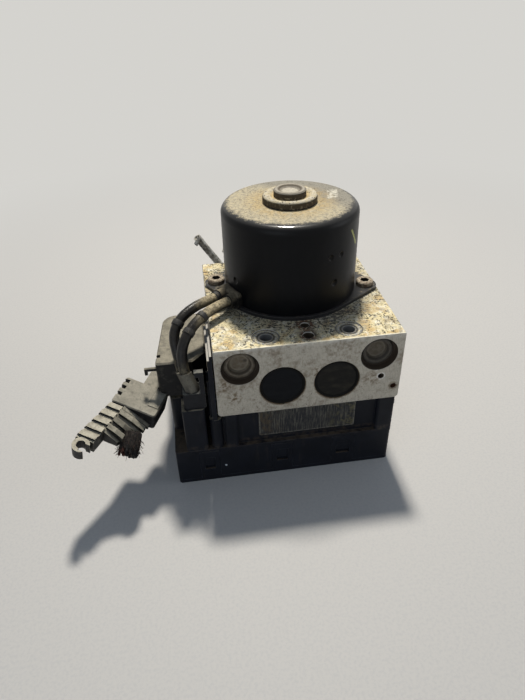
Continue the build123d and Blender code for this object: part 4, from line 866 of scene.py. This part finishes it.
mouldingLook = {
    "harnessPlugMoulding": {
        "node": "harness_plug", "cover": 0.95, "lean": 0.45, "edge": 0.55,
        "base": (0.009, 0.009, 0.010), "dust": (0.30, 0.275, 0.215), "second": (0.155, 0.142, 0.112)},
    "wireCoverMoulding": {
        "node": "wire_cover", "cover": 0.92, "lean": 0.5, "edge": 0.4,
        "base": (0.006, 0.006, 0.0075), "dust": (0.36, 0.335, 0.275), "second": (0.235, 0.22, 0.18)},
    "hoodLeftMoulding": {
        "node": "hood_left", "cover": 0.95, "lean": 0.35, "edge": 0.7,
        "base": (0.020, 0.019, 0.018), "dust": (0.54, 0.50, 0.40), "second": (0.34, 0.31, 0.245)},
    "hoodRightMoulding": {
        "node": "hood_right", "cover": 0.92, "lean": 0.55, "edge": 0.5,
        "base": (0.006, 0.006, 0.006), "dust": (0.50, 0.465, 0.37), "second": (0.28, 0.26, 0.205)},
    "motorPlugMoulding": {
        "node": "motor_plug", "cover": 0.7, "lean": 0.6, "edge": 0.9,
        "base": (0.004, 0.005, 0.008), "dust": (0.30, 0.29, 0.25), "second": (0.022, 0.027, 0.034)},
    "bootRubber": {
        "node": "lead_boot", "cover": 0.85, "lean": -0.3, "edge": 0.9,
        "base": (0.030, 0.028, 0.025), "dust": (0.21, 0.195, 0.155), "second": (0.090, 0.083, 0.070)},
    "grommetRubber": {
        "node": "motor_grommet", "cover": 0.6, "lean": 0.3, "edge": 0.2,
        "base": (0.008, 0.008, 0.008), "dust": (0.30, 0.25, 0.165), "second": (0.07, 0.06, 0.045)},
}


def mouldingMaterial(name, look):
    finish = Finish(name)
    grain = finish.noise(0.8, 2, 5)
    broad = finish.noise(6, 3, 5)
    dust = finish.mix(look["dust"], look["second"], broad.between(0.38, 0.68) * 0.85)
    dust = finish.mix(dust, look["second"], grain.between(0.52, 0.70) * 0.7)
    cover = finish.up.between(look["lean"] - 0.25, look["lean"] + 0.4) * look["cover"]
    cover = cover * (0.60 + 0.40 * finish.noise(3, 5, 5).between(0.28, 0.52))
    base = finish.mix(look["base"], look["second"], finish.noise(4, 4, 5).between(0.50, 0.80) * 0.4)
    colour = finish.mix(base, dust, cover)
    rubbed = finish.edges(0.35) * finish.noise(2, 7, 4).between(0.30, 0.55)
    colour = finish.mix(colour, look["dust"], rubbed * look["edge"])
    specks = finish.noise(0.6, 6, 2).between(0.64, 0.72) * cover
    colour = finish.mix(colour, look["base"], specks * 0.6)
    # Painted shade: crevices between ribs, round latches and in gaps are darkened to the base colour
    colour = finish.mix(colour, look["base"], finish.crevices(2.0) * 0.85)
    dull = {"Specular IOR Level": 0.25}
    return finish.close(colour, 0.52 + 0.34 * cover, 0.0, grain * 0.8 + broad * 0.2, 0.09, 0.35, dull)


for lookName, look in mouldingLook.items():
    dress(mouldingMaterial(lookName, look), look["node"])

stubLook = {
    "start": (-96.5, -50.0, 44.9), "end": (-98.6, -57.4, 39.4), "radius": 5.3, "ragged": 0.9, "seed": 7,
    "sides": 44, "cuts": 3, "steps": 4,
    "wires": 34, "wireRadius": 0.72, "wireSpread": 4.9, "wireReach": (1.6, 5.2), "wireLean": 0.75,
    "hairs": 130, "hairRadius": 0.09, "hairReach": (1.6, 4.4), "redSide": -1.6,
    "tape": {"first": (0.008, 0.0075, 0.008), "second": (0.030, 0.017, 0.013), "dust": (0.085, 0.072, 0.055)},
    "wire": {"first": (0.006, 0.006, 0.007), "second": (0.014, 0.013, 0.013), "dust": (0.030, 0.028, 0.025)},
    "redWire": {"first": (0.060, 0.022, 0.016), "second": (0.018, 0.010, 0.009), "dust": (0.10, 0.06, 0.045)},
    "hair": {"first": (0.016, 0.013, 0.012), "second": (0.075, 0.035, 0.025), "dust": (0.12, 0.10, 0.08)},
}


def stubMaterial(name, look):
    finish = Finish(name)
    fibres = finish.noise(0.8, 2, 5, (2.2, 0.5, 2.2))
    colour = finish.mix(look["first"], look["second"], fibres.between(0.46, 0.66) * 0.85)
    settled = finish.up.between(0.1, 0.9) * finish.noise(1.6, 3, 4).between(0.45, 0.68)
    colour = finish.mix(colour, look["dust"], settled * 0.5)
    return finish.close(colour, 0.80, 0.0, fibres, 0.2, constants={"Specular IOR Level": 0.25})


def addFrayedLoom(look):
    # A short ragged tape sleeve, the broken wires that stand out of it, and loose fibres
    draw = random.Random(look["seed"])
    start, end = Vector(look["start"]), Vector(look["end"])
    ahead = (end - start).normalized()
    side = ahead.orthogonal().normalized()
    other = ahead.cross(side)

    tape = sleeve("loomTape", look["radius"], start, end, look["sides"], "TRIFAN")
    bpy.ops.object.mode_set(mode="EDIT")
    bpy.ops.mesh.select_all(action="SELECT")
    bpy.ops.mesh.subdivide(number_cuts=look["cuts"])
    bpy.ops.transform.vertex_random(offset=look["ragged"] * mm, seed=look["seed"])
    bpy.ops.object.mode_set(mode="OBJECT")
    applied(tape, ("SUBSURF", {"levels": 1}))
    finished(tape, stubMaterial("loomTape", look["tape"]), "lead_rubber", "harness_stub")

    def bent(base, reach, lean):
        lean = (side * draw.uniform(-1, 1) + other * draw.uniform(-1, 1)) * lean
        middle = base + (ahead + lean * 0.3) * reach * 0.55
        return [base - ahead * 2.5, base, middle, base + (ahead + lean) * reach]

    wires, redWires = [], []
    for number in range(look["wires"]):
        turn = 2.4 * number  # near the golden angle, which spreads them evenly
        share = math.sqrt((number + 0.5) / look["wires"])
        base = end + (side * math.cos(turn) + other * math.sin(turn)) * look["wireSpread"] * share
        wire = bent(base, draw.uniform(*look["wireReach"]) * (1.15 - 0.45 * share), look["wireLean"])
        (redWires if base.x - end.x < look["redSide"] else wires).append(wire)
    hairs = []
    for number in range(look["hairs"]):
        turn = draw.uniform(0, 2 * math.pi)
        out = side * math.cos(turn) + other * math.sin(turn)
        base = start.lerp(end, draw.uniform(0.35, 1.15)) + out * look["radius"] * 0.95
        tip = base + (out + ahead * draw.uniform(-0.2, 1.4)) * draw.uniform(*look["hairReach"]) * 0.6
        sag = Vector((draw.uniform(-1, 1), draw.uniform(-1, 1), draw.uniform(-1, 1)))
        hairs.append([base - out, base, (base + tip) / 2 + sag * 0.8, tip + sag])
    for name, routes, radius, kind in (("loomWires", wires, look["wireRadius"], "wire"),
                                       ("loomRedWires", redWires, look["wireRadius"], "redWire"),
                                       ("loomHairs", hairs, look["hairRadius"], "hair")):
        made = strands(name, routes, radius, 1, look["steps"])[0]
        bpy.ops.object.convert(target="MESH")
        finished(made, stubMaterial(name, look[kind]), "lead_rubber")


addFrayedLoom(stubLook)
print("plugs and hood dressed")


# Pieces inside, seen when the module is taken apart

innerLook = {
    "bearingSteel": {
        "base": (0.56, 0.56, 0.57), "film": (0.30, 0.27, 0.22), "metal": 0.95, "rough": 0.28, "size": 1.4,
        "nodes": ("accumulator_piston_left", "accumulator_piston_right", "pump_piston_left",
                  "pump_piston_right", "pump_cylinder_left", "pump_cylinder_right", "inlet_valves",
                  "outlet_valves", "motor_shaft", "drive_bearing", "top_bearing", "eccentric_bearing")},
    "springWire": {
        "base": (0.36, 0.36, 0.38), "film": (0.16, 0.14, 0.12), "metal": 0.9, "rough": 0.35, "size": 0.8,
        "nodes": ("brush_springs",)},
    "zincPlate": {
        "base": (0.44, 0.43, 0.40), "film": (0.22, 0.18, 0.13), "metal": 0.7, "rough": 0.45, "size": 1.6,
        "nodes": ("pump_plug_left", "pump_plug_right", "ecu_screws")},
    "enamelCopper": {
        "base": (0.60, 0.24, 0.09), "film": (0.28, 0.10, 0.045), "metal": 0.75, "rough": 0.36, "size": 0.6,
        "nodes": ("inlet_coils", "outlet_coils", "armature_winding", "commutator")},
    "coreLamination": {
        "base": (0.20, 0.20, 0.21), "film": (0.09, 0.085, 0.08), "metal": 0.8, "rough": 0.45, "size": 0.9,
        "nodes": ("armature_core",)},
    "sinteredBronze": {
        "base": (0.46, 0.30, 0.12), "film": (0.22, 0.14, 0.06), "metal": 0.8, "rough": 0.5, "size": 0.5,
        "nodes": ("pilot_bush",)},
    "magnetFerrite": {
        "base": (0.045, 0.045, 0.048), "film": (0.085, 0.08, 0.075), "metal": 0.1, "rough": 0.6, "size": 2.0,
        "nodes": ("motor_magnets",)},
    "brushCarbon": {
        "base": (0.025, 0.025, 0.026), "film": (0.055, 0.052, 0.05), "metal": 0.15, "rough": 0.5, "size": 0.5,
        "nodes": ("carbon_brushes",)},
    "holderMoulding": {
        "base": (0.050, 0.040, 0.032), "film": (0.11, 0.09, 0.07), "metal": 0.0, "rough": 0.5, "size": 2.5,
        "nodes": ("brush_holder",)},
    "gasketRubber": {
        "base": (0.028, 0.028, 0.029), "film": (0.07, 0.068, 0.062), "metal": 0.0, "rough": 0.75, "size": 1.0,
        "nodes": ("ecu_seal",)},
    "chipEpoxy": {
        "base": (0.018, 0.018, 0.019), "film": (0.05, 0.05, 0.05), "metal": 0.0, "rough": 0.55, "size": 1.0,
        "nodes": ("board_chips",)},
    "tinnedPin": {
        "base": (0.62, 0.60, 0.55), "film": (0.38, 0.34, 0.27), "metal": 0.9, "rough": 0.35, "size": 1.2,
        "nodes": ("connector_pins", "motor_pins")},
}


def innerMaterial(name, look):
    finish = Finish(name)
    fine = finish.noise(look["size"], 2, 4)
    turning = finish.noise(look["size"], 3, 3, (0.4, 0.4, 3.0))
    broad = finish.noise(look["size"] * 7, 4, 4)
    colour = finish.mix(look["base"], look["film"], (broad + 0.5 * (fine - 0.5)).between(0.42, 0.74) * 0.8)
    colour = finish.mix(colour, look["film"], turning.between(0.55, 0.75) * 0.35)
    roughness = look["rough"] + 0.25 * (broad - 0.4)
    return finish.close(colour, roughness, look["metal"], fine * 0.6 + turning * 0.4, 0.03, 0.2)


for lookName, look in innerLook.items():
    dress(innerMaterial(lookName, look), *look["nodes"])


# The piston springs: each is copied from its piece with doubled points merged, dressed in spring wire and put
# in place of it; the share of length left at the end of the stroke, towards the cap or plug that it stands
# on, is worked out but not used

springJoints = {
    "pump_spring_left": "pump_stroke_left",
    "pump_spring_right": "pump_stroke_right",
    "accumulator_spring_left": "accumulator_stroke_left",
    "accumulator_spring_right": "accumulator_stroke_right",
}


def addSpring(node, jointName, material):
    joint = next(joint for joint in frame["joints"] if joint["name"] == jointName)
    axis = Vector(joint["axis"])
    free, fixed = sorted((Vector(corner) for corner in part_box(node)), key=axis.dot)
    spring = linked(node + "_coil", nodes[node].data.copy())
    bpy.ops.object.mode_set(mode="EDIT")
    bpy.ops.mesh.select_all(action="SELECT")
    bpy.ops.mesh.remove_doubles(threshold=1e-6)
    bpy.ops.mesh.select_all(action="DESELECT")
    bpy.ops.object.mode_set(mode="OBJECT")
    finished(spring, material, "spring_steel", node)
    keep = 1 - joint["range_m"][1] / axis.dot(fixed - free)
    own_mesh(spring)


springWire = innerMaterial("pistonSpringWire", innerLook["springWire"])
for springNode, springJoint in springJoints.items():
    addSpring(springNode, springJoint, springWire)


boardLook = {
    "mask": (0.020, 0.105, 0.050), "track": (0.045, 0.19, 0.085), "pad": (0.55, 0.52, 0.42), "pitch": 3.2,
}


def boardMaterial(look):
    finish = Finish("boardMask")
    bars = ((finish.x + 2.0 * (finish.noise(22, 2, 0) - 0.5)) * (math.pi / look["pitch"])).sine()
    cross = ((finish.y + 2.0 * (finish.noise(26, 3, 0) - 0.5)) * (math.pi / look["pitch"])).sine()
    area = finish.noise(18, 4, 1).between(0.45, 0.5)
    tracks = bars.between(0.1, 0.3) * area + cross.between(0.1, 0.3) * (1 - area)
    colour = finish.mix(look["mask"], look["track"], tracks)
    pads = 1 - finish.cells(3.4, 5).between(0.10, 0.14)
    colour = finish.mix(colour, look["pad"], pads * 0.8)
    return finish.close(colour, 0.35 + 0.15 * tracks, 0.0, tracks * 0.6 + pads * 0.4, 0.05, 0.15)


dress(boardMaterial(boardLook), "circuit_board")
print("inner pieces dressed")


print("scene ready")
